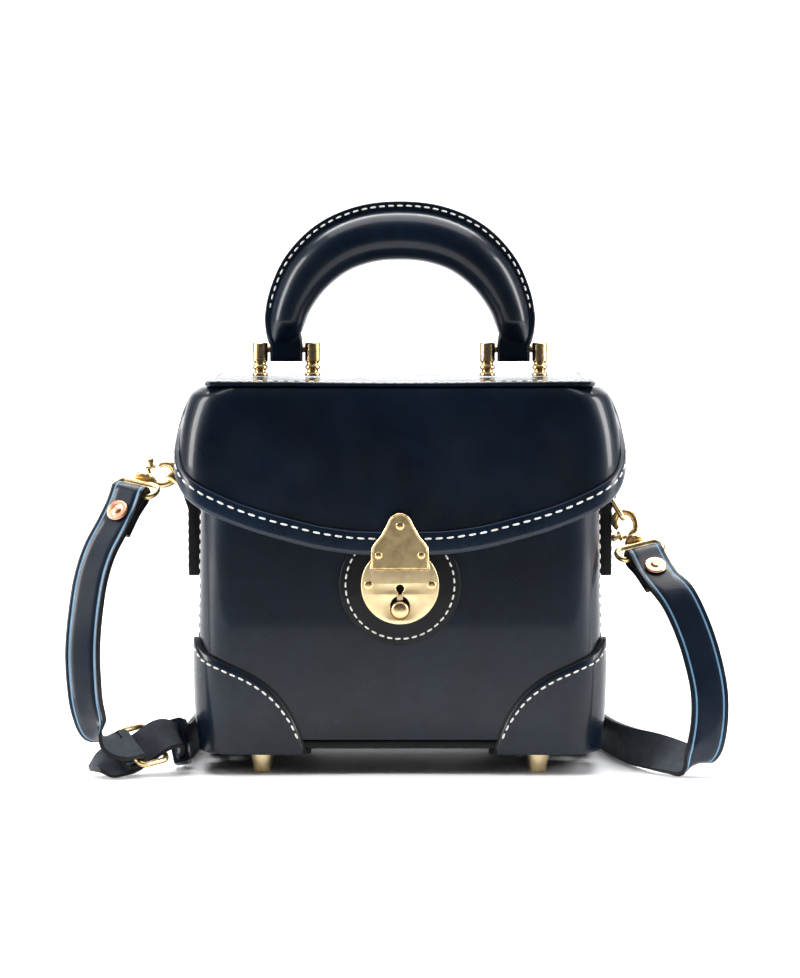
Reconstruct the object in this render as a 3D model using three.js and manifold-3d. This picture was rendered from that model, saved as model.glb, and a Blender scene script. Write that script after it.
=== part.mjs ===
// Box bag of burnished leather: moulded lid, round trunk lock, rolled top handle and a buckled strap.
// Millimetres, +X to the right seen from the front, +Y backwards, +Z up; left and right as seen from the front.
import * as THREE from "three";
import { mergeVertices } from "three/addons/utils/BufferGeometryUtils.js";
import Module from "manifold-3d";

const wasm = await Module();
wasm.setup();

// Box
const BODY_WIDTH = 206;
const BODY_DEPTH = 109;
const BODY_CORNER = 18;
const BODY_BOTTOM = 17.6;
const TOP_Z = 199;
const TOP_ROOM = 7.5;
const BODY_TOP = TOP_Z - TOP_ROOM;
const BODY_TALL = BODY_TOP - BODY_BOTTOM;
const WALL = 2.5;
const FIT = 0.3;
const BASE_THICK = 4;
const PATCH_THICK = 2.7;

// Lid: its top panel is narrower than the box and bends down at the back, its walls stand off from the box.
const TOP_INSET = 5.3;
const TOP_WIDTH = BODY_WIDTH - 2 * TOP_INSET;
const TOP_SAG = 0.8;
const SKIRT_LONG = 18;
const LID_OVERHANG = 9;
const LID_REACH = BODY_WIDTH / 2 + LID_OVERHANG;
const LID_FORWARD = 5.9;
const LID_FRONT_BOTTOM_Y = -BODY_DEPTH / 2 - LID_FORWARD;
const LID_CORNER = 19;
const LID_BACK_SHY = 5.8;
const STRIP_WIDE = 11;
const STRIP_THICK = 2;

// Feet
const FOOT_TALL = 9.9;
const FOOT_TOP_RADIUS = 6;
const FOOT_TIP_RADIUS = 4.25;
const FOOT_X = 70;
const FOOT_Y = 41;

// Lock
const LOCK_Z = 97;
const LOCK_PATCH_RADIUS = 30.5;
const LOCK_PATCH_THICK = 2;
const LOCK_RADIUS = 19.5;
const LOCK_THICK = 4.6;
const LOCK_CHORD_Z = 109.5;
const HASP_THICK = 1.2;
const HASP_RIM = 1;
const KNOB_RADIUS = 4.5;
const KNOB_Z = 84.8;
const KNOB_TRAVEL = 2;
const KEYHOLE_RADIUS = 2.1;
const KEYHOLE_Z = 95.4;

// Handle
const POST_RADIUS = 4;
const POST_TALL = 17.2;
const POST_INSET = 25.7;
const POST_APART = 27;
const POST_OUT_X = TOP_WIDTH / 2 - POST_INSET;
const POST_IN_X = POST_OUT_X - POST_APART;
const PIN_RADIUS = 1.8;
const PIN_FIT = 0.5;
const PIN_RISE = 14;
const PIN_Z = TOP_Z + PIN_RISE;
const PIN_SEAT = 2;
const TAB_X = (POST_OUT_X + POST_IN_X) / 2;
const HANDLE_RISE = 60.9;
const ROLL_WIDE = 30.3;
const ROLL_THICK = 24;
const FLANGE_THICK = 3.6;

// Strap and its hardware
const STRAP_WIDE = 19;
const STRAP_THICK = 3;
const FOLD_RADIUS = 3.6;
const FOLD_TAIL = 23;
const FOLD_GAP = 0.4;
const RIVET_RADIUS = 5.7;
const RIVET_DOWN = 13;
const WIRE = 3;
const RING_WIDE = 30;
const RING_LONG = 19;
const EYE_WIDE = 27.6;
const EYE_SLIDE = 0.4;
const EYE_LONG = 12;
const SIDE_TAB_WIDE = 14;
const SIDE_TAB_LONG = 43;
const RING_OUT = 3.7;
const RING_PIVOT_X = BODY_WIDTH / 2 + RING_OUT;
const RING_PIVOT_Z = 139.5;
const KEEPER_THICK = 1.8;

const colours = {
  leather: { color: 0x101c2c, roughness: 0.32, metalness: 0 },
  black: { color: 0x08090c, roughness: 0.55, metalness: 0 },
  brass: { color: 0xc9a468, roughness: 0.34, metalness: 1 },
  pale: { color: 0xe8cb94, roughness: 0.38, metalness: 1 },
  antique: { color: 0x8a6f45, roughness: 0.45, metalness: 1 },
  copper: { color: 0xc0623c, roughness: 0.35, metalness: 1 },
};

const group = new THREE.Group();
group.name = "box_bag";
const bag = new THREE.Group();
bag.name = "bag";
group.add(bag);

function add(name, geometry, look, parent = bag) {
  const mesh = new THREE.Mesh(geometry, new THREE.MeshStandardMaterial(colours[look]));
  mesh.name = name;
  parent.add(mesh);
  return mesh;
}

function solidOf(geometry) {
  const bare = geometry.clone();
  bare.deleteAttribute("normal");
  bare.deleteAttribute("uv");
  const merged = mergeVertices(bare, 1e-4);
  const vertProperties = merged.attributes.position.array;
  const triVerts = new Uint32Array(merged.index.array);
  return new wasm.Manifold(new wasm.Mesh({ numProp: 3, vertProperties, triVerts }));
}

function geometryOf(solid) {
  const mesh = solid.getMesh();
  const position = new Float32Array(mesh.numVert * 3);
  for (let i = 0; i < mesh.numVert; i += 1) {
    const start = i * mesh.numProp;
    position.set(mesh.vertProperties.subarray(start, start + 3), i * 3);
  }
  const geometry = new THREE.BufferGeometry();
  geometry.setAttribute("position", new THREE.BufferAttribute(position, 3));
  geometry.setIndex(new THREE.BufferAttribute(new Uint32Array(mesh.triVerts), 1));
  geometry.computeVertexNormals();
  return geometry;
}

const cut = (body, ...tools) =>
  geometryOf(tools.reduce((left, tool) => left.subtract(solidOf(tool)), solidOf(body)));
const join = (...bodies) =>
  geometryOf(bodies.map(solidOf).reduce((sum, body) => sum.add(body)));
const common = (...bodies) =>
  geometryOf(bodies.map(solidOf).reduce((left, body) => left.intersect(body)));

// Triangles of a flat ring of points in space.
function capOf(ring) {
  const normal = new THREE.Vector3();
  ring.forEach((p, i) => normal.add(new THREE.Vector3().crossVectors(p, ring[(i + 1) % ring.length])));
  const turn = new THREE.Quaternion().setFromUnitVectors(normal.normalize(), new THREE.Vector3(0, 0, 1));
  const flat = ring.map((p) => p.clone().applyQuaternion(turn)).map((p) => new THREE.Vector2(p.x, p.y));
  return THREE.ShapeUtils.triangulateShape(flat, []);
}

// A closed body through equal rings of points; the last ring joins the first when it is round.
function loft(rings, round = false) {
  const size = rings[0].length;
  const index = [];
  const spans = round ? rings.length : rings.length - 1;
  for (let i = 0; i < spans; i += 1) {
    for (let j = 0; j < size; j += 1) {
      const k = (j + 1) % size;
      const low = i * size;
      const high = ((i + 1) % rings.length) * size;
      index.push(low + j, low + k, high + k, low + j, high + k, high + j);
    }
  }
  if (!round) {
    const last = (rings.length - 1) * size;
    capOf(rings[0]).forEach(([a, b, c]) => index.push(a, c, b));
    capOf(rings[rings.length - 1]).forEach(([a, b, c]) => index.push(last + a, last + b, last + c));
  }
  const points = rings.flat();
  let volume = 0;
  for (let i = 0; i < index.length; i += 3) {
    const [a, b, c] = index.slice(i, i + 3).map((v) => points[v]);
    volume += a.dot(new THREE.Vector3().crossVectors(b, c));
  }
  if (volume < 0) {
    index.reverse();
  }
  const geometry = new THREE.BufferGeometry().setFromPoints(points);
  geometry.setIndex(index);
  geometry.computeVertexNormals();
  return geometry;
}

// A straight prism of a shape drawn in XZ, running backwards from its front plane.
function prism(shape, depth, frontY) {
  const geometry = new THREE.ExtrudeGeometry(shape, { depth, bevelEnabled: false, curveSegments: 10 });
  return geometry.rotateX(Math.PI / 2).translate(0, frontY + depth, 0);
}

function turned(profile, segments = 20) {
  const points = profile.map(([radius, height]) => new THREE.Vector2(radius, height));
  return new THREE.LatheGeometry(points, segments).rotateX(Math.PI / 2);
}

function rod(radius, length, segments = 12) {
  return new THREE.CylinderGeometry(radius, radius, length, segments);
}

// The value of a table's column at a place between its rows.
function lookUp(table, key, place, column) {
  const next = table.findIndex((row) => row[key] >= place);
  if (next <= 0) {
    return table[next === 0 ? 0 : table.length - 1][column];
  }
  const [a, b] = [table[next - 1], table[next]];
  return THREE.MathUtils.mapLinear(place, a[key], b[key], a[column], b[column]);
}

// Plan outline of the box with rounded corners, anticlockwise seen from above.
function outline(halfWidth, halfDepth, radius, steps = 5) {
  const ring = [];
  [[1, -1], [1, 1], [-1, 1], [-1, -1]].forEach(([sx, sy], corner) => {
    for (let i = 0; i <= steps; i += 1) {
      const angle = ((corner - 1 + i / steps) * Math.PI) / 2;
      const x = sx * (halfWidth - radius) + radius * Math.cos(angle);
      const y = sy * (halfDepth - radius) + radius * Math.sin(angle);
      ring.push(new THREE.Vector2(x, y));
    }
  });
  return ring;
}

// Box: sides slightly bulged, drawn in at the top under the lid.
const FRONT_BULGE = 1.006;
const bodyRows = [
  { z: 0, width: 0.968, depth: 0.975 },
  { z: 0.08, width: 0.985, depth: 0.99 },
  { z: 0.2, width: 0.991, depth: 1 },
  { z: 0.5, width: 0.983, depth: FRONT_BULGE },
  { z: 0.8, width: 0.975, depth: 1 },
  { z: 0.94, width: 0.97, depth: 0.985 },
  { z: 1, width: 0.96, depth: 0.96 },
];

function boxRing(z, grow) {
  const share = (z - BODY_BOTTOM) / BODY_TALL;
  const halfWidth = (BODY_WIDTH / 2) * lookUp(bodyRows, "z", share, "width") + grow;
  const halfDepth = (BODY_DEPTH / 2) * lookUp(bodyRows, "z", share, "depth") + grow;
  return outline(halfWidth, halfDepth, BODY_CORNER + grow).map((p) => new THREE.Vector3(p.x, p.y, z));
}

function boxSolid(bottom, top, grow) {
  const levels = bodyRows.map((row) => BODY_BOTTOM + row.z * BODY_TALL);
  const between = levels.filter((z) => z > bottom + 1 && z < top - 1);
  return loft([bottom, ...between, top].map((z) => boxRing(z, grow)));
}

const shellOuter = boxSolid(BODY_BOTTOM, BODY_TOP, 0);
const shellInner = boxSolid(BODY_BOTTOM - 5, BODY_TOP + 5, -WALL);
add("body_shell", cut(shellOuter, shellInner), "leather");
add("base_panel", boxSolid(BODY_BOTTOM - FIT - BASE_THICK, BODY_BOTTOM - FIT, -0.5), "black");

// Corner patches: a skin outside the box and under it, trimmed by a front and a side curve.
const patchFrontRows = [
  { x: 48.5, z: 8 },
  { x: 51, z: 20 },
  { x: 57, z: 33 },
  { x: 65, z: 43 },
  { x: 76, z: 51 },
  { x: 90, z: 57.5 },
  { x: 100, z: 62 },
  { x: 106, z: 69 },
  { x: 118, z: 72 },
];
const patchSideRows = [
  { y: 7, z: 8 },
  { y: 9, z: 22 },
  { y: 15, z: 40 },
  { y: 24, z: 57 },
  { y: 32, z: 67 },
  { y: 39, z: 70 },
  { y: 70, z: 72 },
];
const PATCH_BOTTOM = BODY_BOTTOM - 2 * FIT - BASE_THICK - PATCH_THICK;
const PATCH_TOP = 80;
const FAR = 130;
const patchOuter = boxSolid(PATCH_BOTTOM, PATCH_TOP, FIT + PATCH_THICK);
const patchInner = boxSolid(PATCH_BOTTOM + PATCH_THICK, PATCH_TOP + 5, FIT);
const patchSkin = cut(patchOuter, patchInner);

function trimPrism(rows, key, low) {
  const shape = new THREE.Shape();
  shape.moveTo(rows[0][key], low);
  rows.forEach((row) => shape.lineTo(row[key], row.z));
  shape.lineTo(rows[rows.length - 1][key], low);
  return prism(shape, 2 * FAR, -FAR);
}

const frontTrim = trimPrism(patchFrontRows, "x", 0);
const sideTrim = trimPrism(patchSideRows, "y", 0).rotateZ(Math.PI / 2);
const cornerSides = [
  { name: "corner_patch_front_left", x: -1, y: -1 },
  { name: "corner_patch_front_right", x: 1, y: -1 },
  { name: "corner_patch_back_left", x: -1, y: 1 },
  { name: "corner_patch_back_right", x: 1, y: 1 },
];

// Turns a geometry over in X or Y and keeps its faces outwards.
function mirrored(geometry, x, y) {
  const copy = geometry.clone().scale(x, y, 1);
  if (x * y < 0) {
    const index = Array.from(copy.index.array).reverse();
    copy.setIndex(index);
  }
  copy.computeVertexNormals();
  return copy;
}

const patch = common(patchSkin, frontTrim, sideTrim);
cornerSides.forEach(({ name, x, y }) => add(name, mirrored(patch, x, y), "leather"));

// Feet: short brass cones under the patches.
const footProfile = [
  [0, 0],
  [FOOT_TIP_RADIUS - 0.5, 0],
  [FOOT_TIP_RADIUS, 0.5],
  [FOOT_TOP_RADIUS, FOOT_TALL - 1],
  [FOOT_TOP_RADIUS, FOOT_TALL],
  [0, FOOT_TALL],
];
cornerSides.forEach(({ x, y }) => {
  const name = `foot_${y < 0 ? "front" : "back"}_${x < 0 ? "left" : "right"}`;
  add(name, turned(footProfile, 14), "pale").position.set(x * FOOT_X, y * FOOT_Y, 0);
});

// Lid: walls that follow the box plan, with a rounded shoulder and a lower edge that falls to the lock.
const LID_TOP_Z = TOP_Z - WALL - FIT;
const lidRows = [
  { down: 0, in: 24.5, back: 16.4 },
  { down: 0, in: 16.4, back: 7.4 },
  { down: 0.8, in: 11.5, back: 5.2 },
  { down: 4.7, in: 6.4, back: 3.7 },
  { down: 16.2, in: 2.8, back: 2 },
  { down: 39.2, in: 0, back: 0.8 },
  { down: 83.2, in: 0, back: 0 },
].map((row) => ({ z: LID_TOP_Z - row.down, width: LID_REACH - row.in, front: LID_FRONT_BOTTOM_Y + row.back }));

// Lower edge of the lid: its height above the lock's middle at shares of the way from the front to the back.
const lidEdgeRows = [
  { along: 0, rise: 16 },
  { along: 0.094, rise: 16.5 },
  { along: 0.174, rise: 18.5 },
  { along: 0.272, rise: 23.5 },
  { along: 0.352, rise: 28.5 },
  { along: 0.413, rise: 33.5 },
  { along: 0.469, rise: 39.5 },
  { along: 0.516, rise: 46 },
  { along: 0.568, rise: 57 },
  { along: 0.634, rise: 68 },
  { along: 0.704, rise: 76 },
  { along: 0.798, rise: 81 },
  { along: 1, rise: 84 },
];
const LID_SIDE = LID_FORWARD + BODY_DEPTH - LID_BACK_SHY - LID_CORNER;
const LID_BACK_ALONG = LID_REACH - LID_CORNER + (LID_CORNER * Math.PI) / 2 + LID_SIDE;
const LID_STEPS = 36;

// The place on the lid's plan at a distance from the front's middle, measured on the widest outline.
function lidPlan(along, halfWidth, frontY) {
  const side = Math.sign(along) || 1;
  const straight = halfWidth - LID_CORNER;
  const run = Math.abs(along) * (halfWidth / LID_REACH);
  const arc = (LID_CORNER * Math.PI) / 2;
  if (run <= straight) {
    return new THREE.Vector2(side * run, frontY);
  }
  if (run <= straight + arc) {
    const angle = (run - straight) / LID_CORNER;
    const x = straight + LID_CORNER * Math.sin(angle);
    return new THREE.Vector2(side * x, frontY + LID_CORNER * (1 - Math.cos(angle)));
  }
  return new THREE.Vector2(side * halfWidth, frontY + LID_CORNER + run - straight - arc);
}

function lidPoint(along, z, inwards) {
  const steps = lidRows.slice(2).map((row) => ({ ...row, down: -row.z }));
  const width = lookUp(steps, "down", -z, "width");
  const front = lookUp(steps, "down", -z, "front");
  const place = lidPlan(along, width - inwards, front + inwards);
  return new THREE.Vector3(place.x, place.y, z);
}

const spread = (count, from, to) =>
  Array.from({ length: count + 1 }, (_, i) => THREE.MathUtils.lerp(from, to, i / count));

const edgeZ = (along) => LOCK_Z + lookUp(lidEdgeRows, "along", Math.abs(along) / LID_BACK_ALONG, "rise");

// Shares of the wall by which the inner face lies lower round the shoulder, row by row.
const INNER_DROPS = [0.75, 0.3, 0, 0, 0, 0];
const INNER_PULL = 0.4;
const WALL_LEVELS = 4;
const lidStations = spread(LID_STEPS, -LID_BACK_ALONG, LID_BACK_ALONG);
const lidRings = lidStations.map((along) => {
  const edge = edgeZ(along);
  const outer = [];
  const inner = [];
  lidRows.slice(0, 2).forEach((row) => {
    const high = lidPlan(along, row.width, row.front);
    outer.push(new THREE.Vector3(high.x, high.y, row.z));
    const low = lidPlan(along, row.width - INNER_PULL, row.front + INNER_PULL);
    inner.push(new THREE.Vector3(low.x, low.y, row.z - WALL));
  });
  const shoulder = lidRows.slice(2, 4).map((row) => row.z);
  const below = spread(WALL_LEVELS, shoulder[1], edge).slice(1);
  [...shoulder, ...below].forEach((z, i) => {
    outer.push(lidPoint(along, z, 0));
    inner.push(lidPoint(along, Math.max(z - WALL * INNER_DROPS[i], edge), WALL));
  });
  return [...outer, ...inner.reverse()];
});
add("lid_front", loft(lidRings), "leather");

// Top panel: a sheet with a slight sag that bends down over the box's back edge as the lid's hinge.
const TOP_COLUMNS = 14;
const TOP_FORWARD = 0.8;
const TOP_CORNER = 3;
const TOP_TURN = 2;
const SKIRT_ROUND = 18;
const SKIRT_LEAST = 4;
const topRings = spread(TOP_COLUMNS, -TOP_WIDTH / 2, TOP_WIDTH / 2).map((x, i) => {
  const bow = Math.cos((x / TOP_WIDTH) * Math.PI);
  const inset = i === 0 || i === TOP_COLUMNS ? TOP_CORNER : 0;
  const front = -BODY_DEPTH / 2 - TOP_FORWARD * bow + inset;
  const back = BODY_DEPTH / 2;
  const high = TOP_Z - TOP_SAG * bow ** 2;
  const low = TOP_Z - WALL;
  const past = Math.max(0, Math.abs(x) - TOP_WIDTH / 2 + SKIRT_ROUND) / SKIRT_ROUND;
  const hem = TOP_Z - SKIRT_LEAST - (SKIRT_LONG - SKIRT_LEAST) * Math.sqrt(1 - past ** 2);
  return [
    new THREE.Vector3(x, front, low),
    new THREE.Vector3(x, front, high),
    new THREE.Vector3(x, 0, high),
    new THREE.Vector3(x, back, high),
    new THREE.Vector3(x, back + TOP_TURN, high - TOP_TURN),
    new THREE.Vector3(x, back + WALL - FIT, hem),
    new THREE.Vector3(x, back - FIT, hem),
    new THREE.Vector3(x, back - FIT, low),
    new THREE.Vector3(x, 0, low),
  ];
});
add("lid_top", loft(topRings), "leather");

const stripRings = lidStations.slice(1, -1).map((along) => {
  const edge = edgeZ(along);
  const levels = [
    { up: STRIP_WIDE, out: 0 },
    { up: STRIP_WIDE - 0.6, out: STRIP_THICK },
    { up: STRIP_WIDE / 2, out: STRIP_THICK },
    { up: 1.2, out: STRIP_THICK },
    { up: -1, out: STRIP_THICK * 0.3 },
    { up: -1, out: 0 },
    { up: 2, out: 0 },
    { up: 5, out: 0 },
    { up: 8, out: 0 },
  ];
  return levels.map(({ up, out }) => lidPoint(along, edge + up, -FIT - out));
});
add("lid_edge_strip", loft(stripRings), "leather");

// Lock: a leather disc, the round plate with its keyhole and slot, and the hasp plate that hangs over it.
const BODY_FRONT_Y = (-BODY_DEPTH / 2) * FRONT_BULGE;
const patchDisc = new THREE.Shape().absarc(0, LOCK_Z, LOCK_PATCH_RADIUS, 0, Math.PI * 2);
const LOCK_PATCH_Y = BODY_FRONT_Y - FIT - LOCK_PATCH_THICK;
add("lock_patch", prism(patchDisc, LOCK_PATCH_THICK, LOCK_PATCH_Y), "black");

function disc(x, z, radius) {
  return new THREE.Shape().absarc(x, z, radius, 0, Math.PI * 2);
}

// Lock plate with a flat chord at its top, under the hasp.
const chordRise = LOCK_CHORD_Z - LOCK_Z;
const chordAngle = Math.asin(chordRise / LOCK_RADIUS);
const plateShape = new THREE.Shape();
plateShape.absarc(0, LOCK_Z, LOCK_RADIUS, Math.PI - chordAngle, 2 * Math.PI + chordAngle);
plateShape.closePath();
const LOCK_Y = LOCK_PATCH_Y - FIT - LOCK_THICK;
const KNOB_FIT = 0.4;
const slot = join(
  prism(disc(0, KNOB_Z, KNOB_RADIUS + KNOB_FIT), 3 * LOCK_THICK, LOCK_Y - LOCK_THICK),
  prism(disc(0, KNOB_Z + KNOB_TRAVEL, KNOB_RADIUS + KNOB_FIT), 3 * LOCK_THICK, LOCK_Y - LOCK_THICK),
);
const keyStem = new THREE.BoxGeometry(1.9, 3 * LOCK_THICK, 4.6).translate(0, LOCK_Y, KEYHOLE_Z - 2.8);
const keyhole = join(prism(disc(0, KEYHOLE_Z, KEYHOLE_RADIUS), 3 * LOCK_THICK, LOCK_Y - LOCK_THICK), keyStem);
add("lock_plate", cut(prism(plateShape, LOCK_THICK, LOCK_Y), slot, keyhole), "pale");

const KNOB_OUT = 2.6;
const KNOB_LONG = LOCK_THICK + KNOB_OUT;
const knobProfile = [
  [0, 0],
  [KNOB_RADIUS * 0.55, 0],
  [KNOB_RADIUS * 0.9, 0.7],
  [KNOB_RADIUS, 1.8],
  [KNOB_RADIUS, KNOB_LONG],
  [0, KNOB_LONG],
];
const knob = add("release_knob", turned(knobProfile, 16).rotateX(-Math.PI / 2), "brass");
knob.position.set(0, LOCK_Y - KNOB_OUT, KNOB_Z);

// Hasp plate: a rounded top, sloping shoulders and a raised rim.
const haspRows = [
  { x: 15.2, rise: 8 },
  { x: 14.6, rise: 10.5 },
  { x: 14.2, rise: 19 },
  { x: 12.8, rise: 21.3 },
  { x: 9.6, rise: 25.2 },
  { x: 6.8, rise: 30.2 },
  { x: 5.2, rise: 33.6 },
  { x: 3.4, rise: 35.6 },
  { x: 1.2, rise: 36.6 },
];
const HASP_MIDDLE_RISE = 20;

function haspShape(share) {
  const middle = LOCK_Z + HASP_MIDDLE_RISE;
  const right = haspRows.map(({ x, rise }) => [x * share, middle + (rise - HASP_MIDDLE_RISE) * share]);
  const left = right.map(([x, z]) => [-x, z]).reverse();
  return new THREE.Shape([...right, ...left].map(([x, z]) => new THREE.Vector2(x, z)));
}

const STRIP_FACE_Y = LID_FRONT_BOTTOM_Y - FIT - STRIP_THICK;
const HASP_Y = STRIP_FACE_Y - FIT - HASP_THICK;
const HASP_RECESS = 0.4;
const haspBody = prism(haspShape(1), HASP_THICK, HASP_Y);
const haspField = haspShape(1 - HASP_RIM / haspRows[4].x);
const haspInner = prism(haspField, HASP_THICK, HASP_Y - HASP_THICK + HASP_RECESS);
add("hasp_plate", cut(haspBody, haspInner), "antique");

const rivetRows = [
  { name: "hasp_rivet_top", x: 0, rise: 30.2, radius: 2.2, y: HASP_Y + HASP_RECESS },
  { name: "hasp_rivet_left", x: -10.7, rise: 15.4, radius: 2, y: HASP_Y + HASP_RECESS },
  { name: "hasp_rivet_right", x: 10.7, rise: 15.4, radius: 2, y: HASP_Y + HASP_RECESS },
  { name: "plate_rivet_left", x: -15.8, rise: 0.3, radius: 2.3, y: LOCK_Y },
  { name: "plate_rivet_right", x: 15.8, rise: 0.3, radius: 2.3, y: LOCK_Y },
];

const DOME_TALL = 1;

function domeProfile(radius, tall) {
  return [
    [0, 0],
    [radius, 0],
    [radius * 0.92, tall * 0.45],
    [radius * 0.6, tall * 0.85],
    [0, tall],
  ];
}

rivetRows.forEach(({ name, x, rise, radius, y }) => {
  const dome = turned(domeProfile(radius, DOME_TALL), 12).rotateX(Math.PI / 2);
  add(name, dome, "brass").position.set(x, y - FIT, LOCK_Z + rise);
});

// Handle: a padded roll with a flat stitched flange outside it; its ends are tabs on the cross pins.
// Each row is a place on its middle line, as shares of the way to the pins and of the rise above them,
// then shares of the roll's width and thickness, and how far the section has gone from a flat tab to a roll.
const handleRows = [
  { x: 1, z: -0.102, wide: 0.561, thick: 0.34, roll: 0 },
  { x: 1, z: -0.049, wide: 0.561, thick: 0.38, roll: 0 },
  { x: 1, z: 0.049, wide: 0.561, thick: 0.4, roll: 0.1 },
  { x: 1.019, z: 0.131, wide: 0.614, thick: 0.6, roll: 0.6 },
  { x: 1.012, z: 0.246, wide: 0.7, thick: 0.84, roll: 0.9 },
  { x: 0.961, z: 0.42, wide: 0.782, thick: 0.92, roll: 1 },
  { x: 0.822, z: 0.654, wide: 0.894, thick: 0.97, roll: 1 },
  { x: 0.59, z: 0.857, wide: 0.964, thick: 1, roll: 1 },
  { x: 0.308, z: 0.969, wide: 0.993, thick: 1, roll: 1 },
  { x: 0, z: 1, wide: 1, thick: 1, roll: 1 },
];
const handleSide = handleRows.map((row) => ({ ...row, x: row.x * TAB_X, z: PIN_Z + row.z * HANDLE_RISE }));
const handleMirror = handleSide.slice(0, -1).reverse().map((row) => ({ ...row, x: -row.x }));
const handleTable = [...handleSide, ...handleMirror];
const handleCurve = new THREE.CatmullRomCurve3(
  handleTable.map(({ x, z }) => new THREE.Vector3(x, 0, z)), false, "centripetal",
);
const HANDLE_STEPS = 28;

// Half of the teardrop section: shares of its width from the outer edge, and of its thickness.
const dropRows = [
  { in: 0, half: 0 },
  { in: 0.06, half: 0.17 },
  { in: 0.23, half: 0.8 },
  { in: 0.4, half: 0.97 },
  { in: 0.58, half: 1 },
  { in: 0.8, half: 0.8 },
  { in: 0.95, half: 0.42 },
  { in: 1, half: 0 },
];

// The flat tab's corner rows lie this far in from its two edges.
const TAB_EDGE = 0.03;
const LAST_DROP = dropRows.length - 1;
const tabRows = dropRows.map((row, i) => {
  if (i === 0 || i === LAST_DROP) {
    return row;
  }
  const inset = i === 1 ? TAB_EDGE : i === LAST_DROP - 1 ? 1 - TAB_EDGE : row.in;
  return { in: inset, half: 1 };
});

function handleRing(share) {
  const at = share * (handleTable.length - 1);
  const low = Math.min(Math.floor(at), handleTable.length - 2);
  const mix = (column) =>
    THREE.MathUtils.lerp(handleTable[low][column], handleTable[low + 1][column], at - low);
  const wide = mix("wide") * ROLL_WIDE;
  const half = (mix("thick") * ROLL_THICK) / 2;
  const roll = mix("roll");
  const flange = Math.min(FLANGE_THICK / 2, half);
  const place = handleCurve.getPoint(share);
  const tangent = handleCurve.getTangent(share);
  const out = new THREE.Vector3(tangent.z, 0, -tangent.x).normalize();
  const section = dropRows.map((row, i) => {
    const tab = tabRows[i];
    const fat = THREE.MathUtils.lerp(tab.half, row.half, roll) * half;
    return { in: THREE.MathUtils.lerp(tab.in, row.in, roll), half: roll > 0.5 && i === 1 ? flange : fat };
  });
  const point = (row, side) => {
    const p = place.clone().addScaledVector(out, wide * (0.5 - row.in));
    return p.setY(side * row.half);
  };
  const front = section.map((row) => point(row, -1));
  const back = section.slice(1, -1).map((row) => point(row, 1)).reverse();
  return [...front, ...back];
}

const pinBore = rod(PIN_RADIUS + PIN_FIT, 2 * FAR, 16).rotateZ(Math.PI / 2).translate(0, 0, PIN_Z);
const handleBody = loft(spread(HANDLE_STEPS, 0, 1).map(handleRing));
add("handle_grip", cut(handleBody, pinBore), "leather");

const postProfile = [
  [0, 0],
  [POST_RADIUS, 0],
  [POST_RADIUS, 1.4],
  [POST_RADIUS * 0.72, 2.1],
  [POST_RADIUS * 0.72, 3.2],
  [POST_RADIUS, 3.8],
  [POST_RADIUS, 5.2],
  [POST_RADIUS * 0.78, 5.8],
  [POST_RADIUS * 0.78, 6.9],
  [POST_RADIUS, 7.6],
  [POST_RADIUS, POST_TALL - 0.5],
  [POST_RADIUS - 0.5, POST_TALL],
  [0, POST_TALL],
];
const PIN_FROM = POST_IN_X + POST_RADIUS - PIN_SEAT;
const PIN_TO = POST_OUT_X - POST_RADIUS + PIN_SEAT;
const pinHole = (length) => rod(PIN_RADIUS + PIN_FIT, length, 16).rotateZ(Math.PI / 2);
const POST_Z = TOP_Z + FIT;
[-1, 1].forEach((side) => {
  const hand = side < 0 ? "left" : "right";
  const bore = pinHole(PIN_TO - PIN_FROM + 2 * FIT).translate((side * (PIN_FROM + PIN_TO)) / 2, 0, PIN_Z);
  [["outer", POST_OUT_X], ["inner", POST_IN_X]].forEach(([name, x]) => {
    const post = turned(postProfile, 8).translate(side * x, 0, POST_Z);
    add(`handle_post_${name}_${hand}`, cut(post, bore), "brass");
  });
  const pin = add(`handle_pin_${hand}`, rod(PIN_RADIUS, PIN_TO - PIN_FROM).rotateZ(Math.PI / 2), "brass");
  pin.position.set((side * (PIN_FROM + PIN_TO)) / 2, 0, PIN_Z);
});

// Side tabs: a leather loop folded up round the ring's bar, its two layers flat against the box below.
const TAB_LOOP_RADIUS = 5.2;
const TAB_INNER_RADIUS = 2.3;
const SIDE_TAB_IN_X = RING_PIVOT_X - TAB_LOOP_RADIUS + 0.2;
const SIDE_TAB_THICK = 7.4;
const sideTabShape = new THREE.Shape();
const sideTabBottom = RING_PIVOT_Z - SIDE_TAB_LONG;
sideTabShape.moveTo(SIDE_TAB_IN_X, sideTabBottom);
sideTabShape.lineTo(SIDE_TAB_IN_X + SIDE_TAB_THICK, sideTabBottom);
sideTabShape.lineTo(SIDE_TAB_IN_X + SIDE_TAB_THICK, RING_PIVOT_Z - 9);
sideTabShape.absarc(RING_PIVOT_X, RING_PIVOT_Z, TAB_LOOP_RADIUS, -0.35, Math.PI);
sideTabShape.closePath();
const sideTabHole = new THREE.Path().absarc(RING_PIVOT_X, RING_PIVOT_Z, TAB_INNER_RADIUS, 0, Math.PI * 2);
sideTabShape.holes.push(sideTabHole);
const sideTab = prism(sideTabShape, SIDE_TAB_WIDE, -SIDE_TAB_WIDE / 2);
add("side_tab_right", sideTab, "black");
add("side_tab_left", mirrored(join(sideTab), -1, 1), "black");

// A rectangular loop of round wire in the plane of its local X and Z; its origin is in its first bar.
const WIRE_SIDES = 6;

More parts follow.
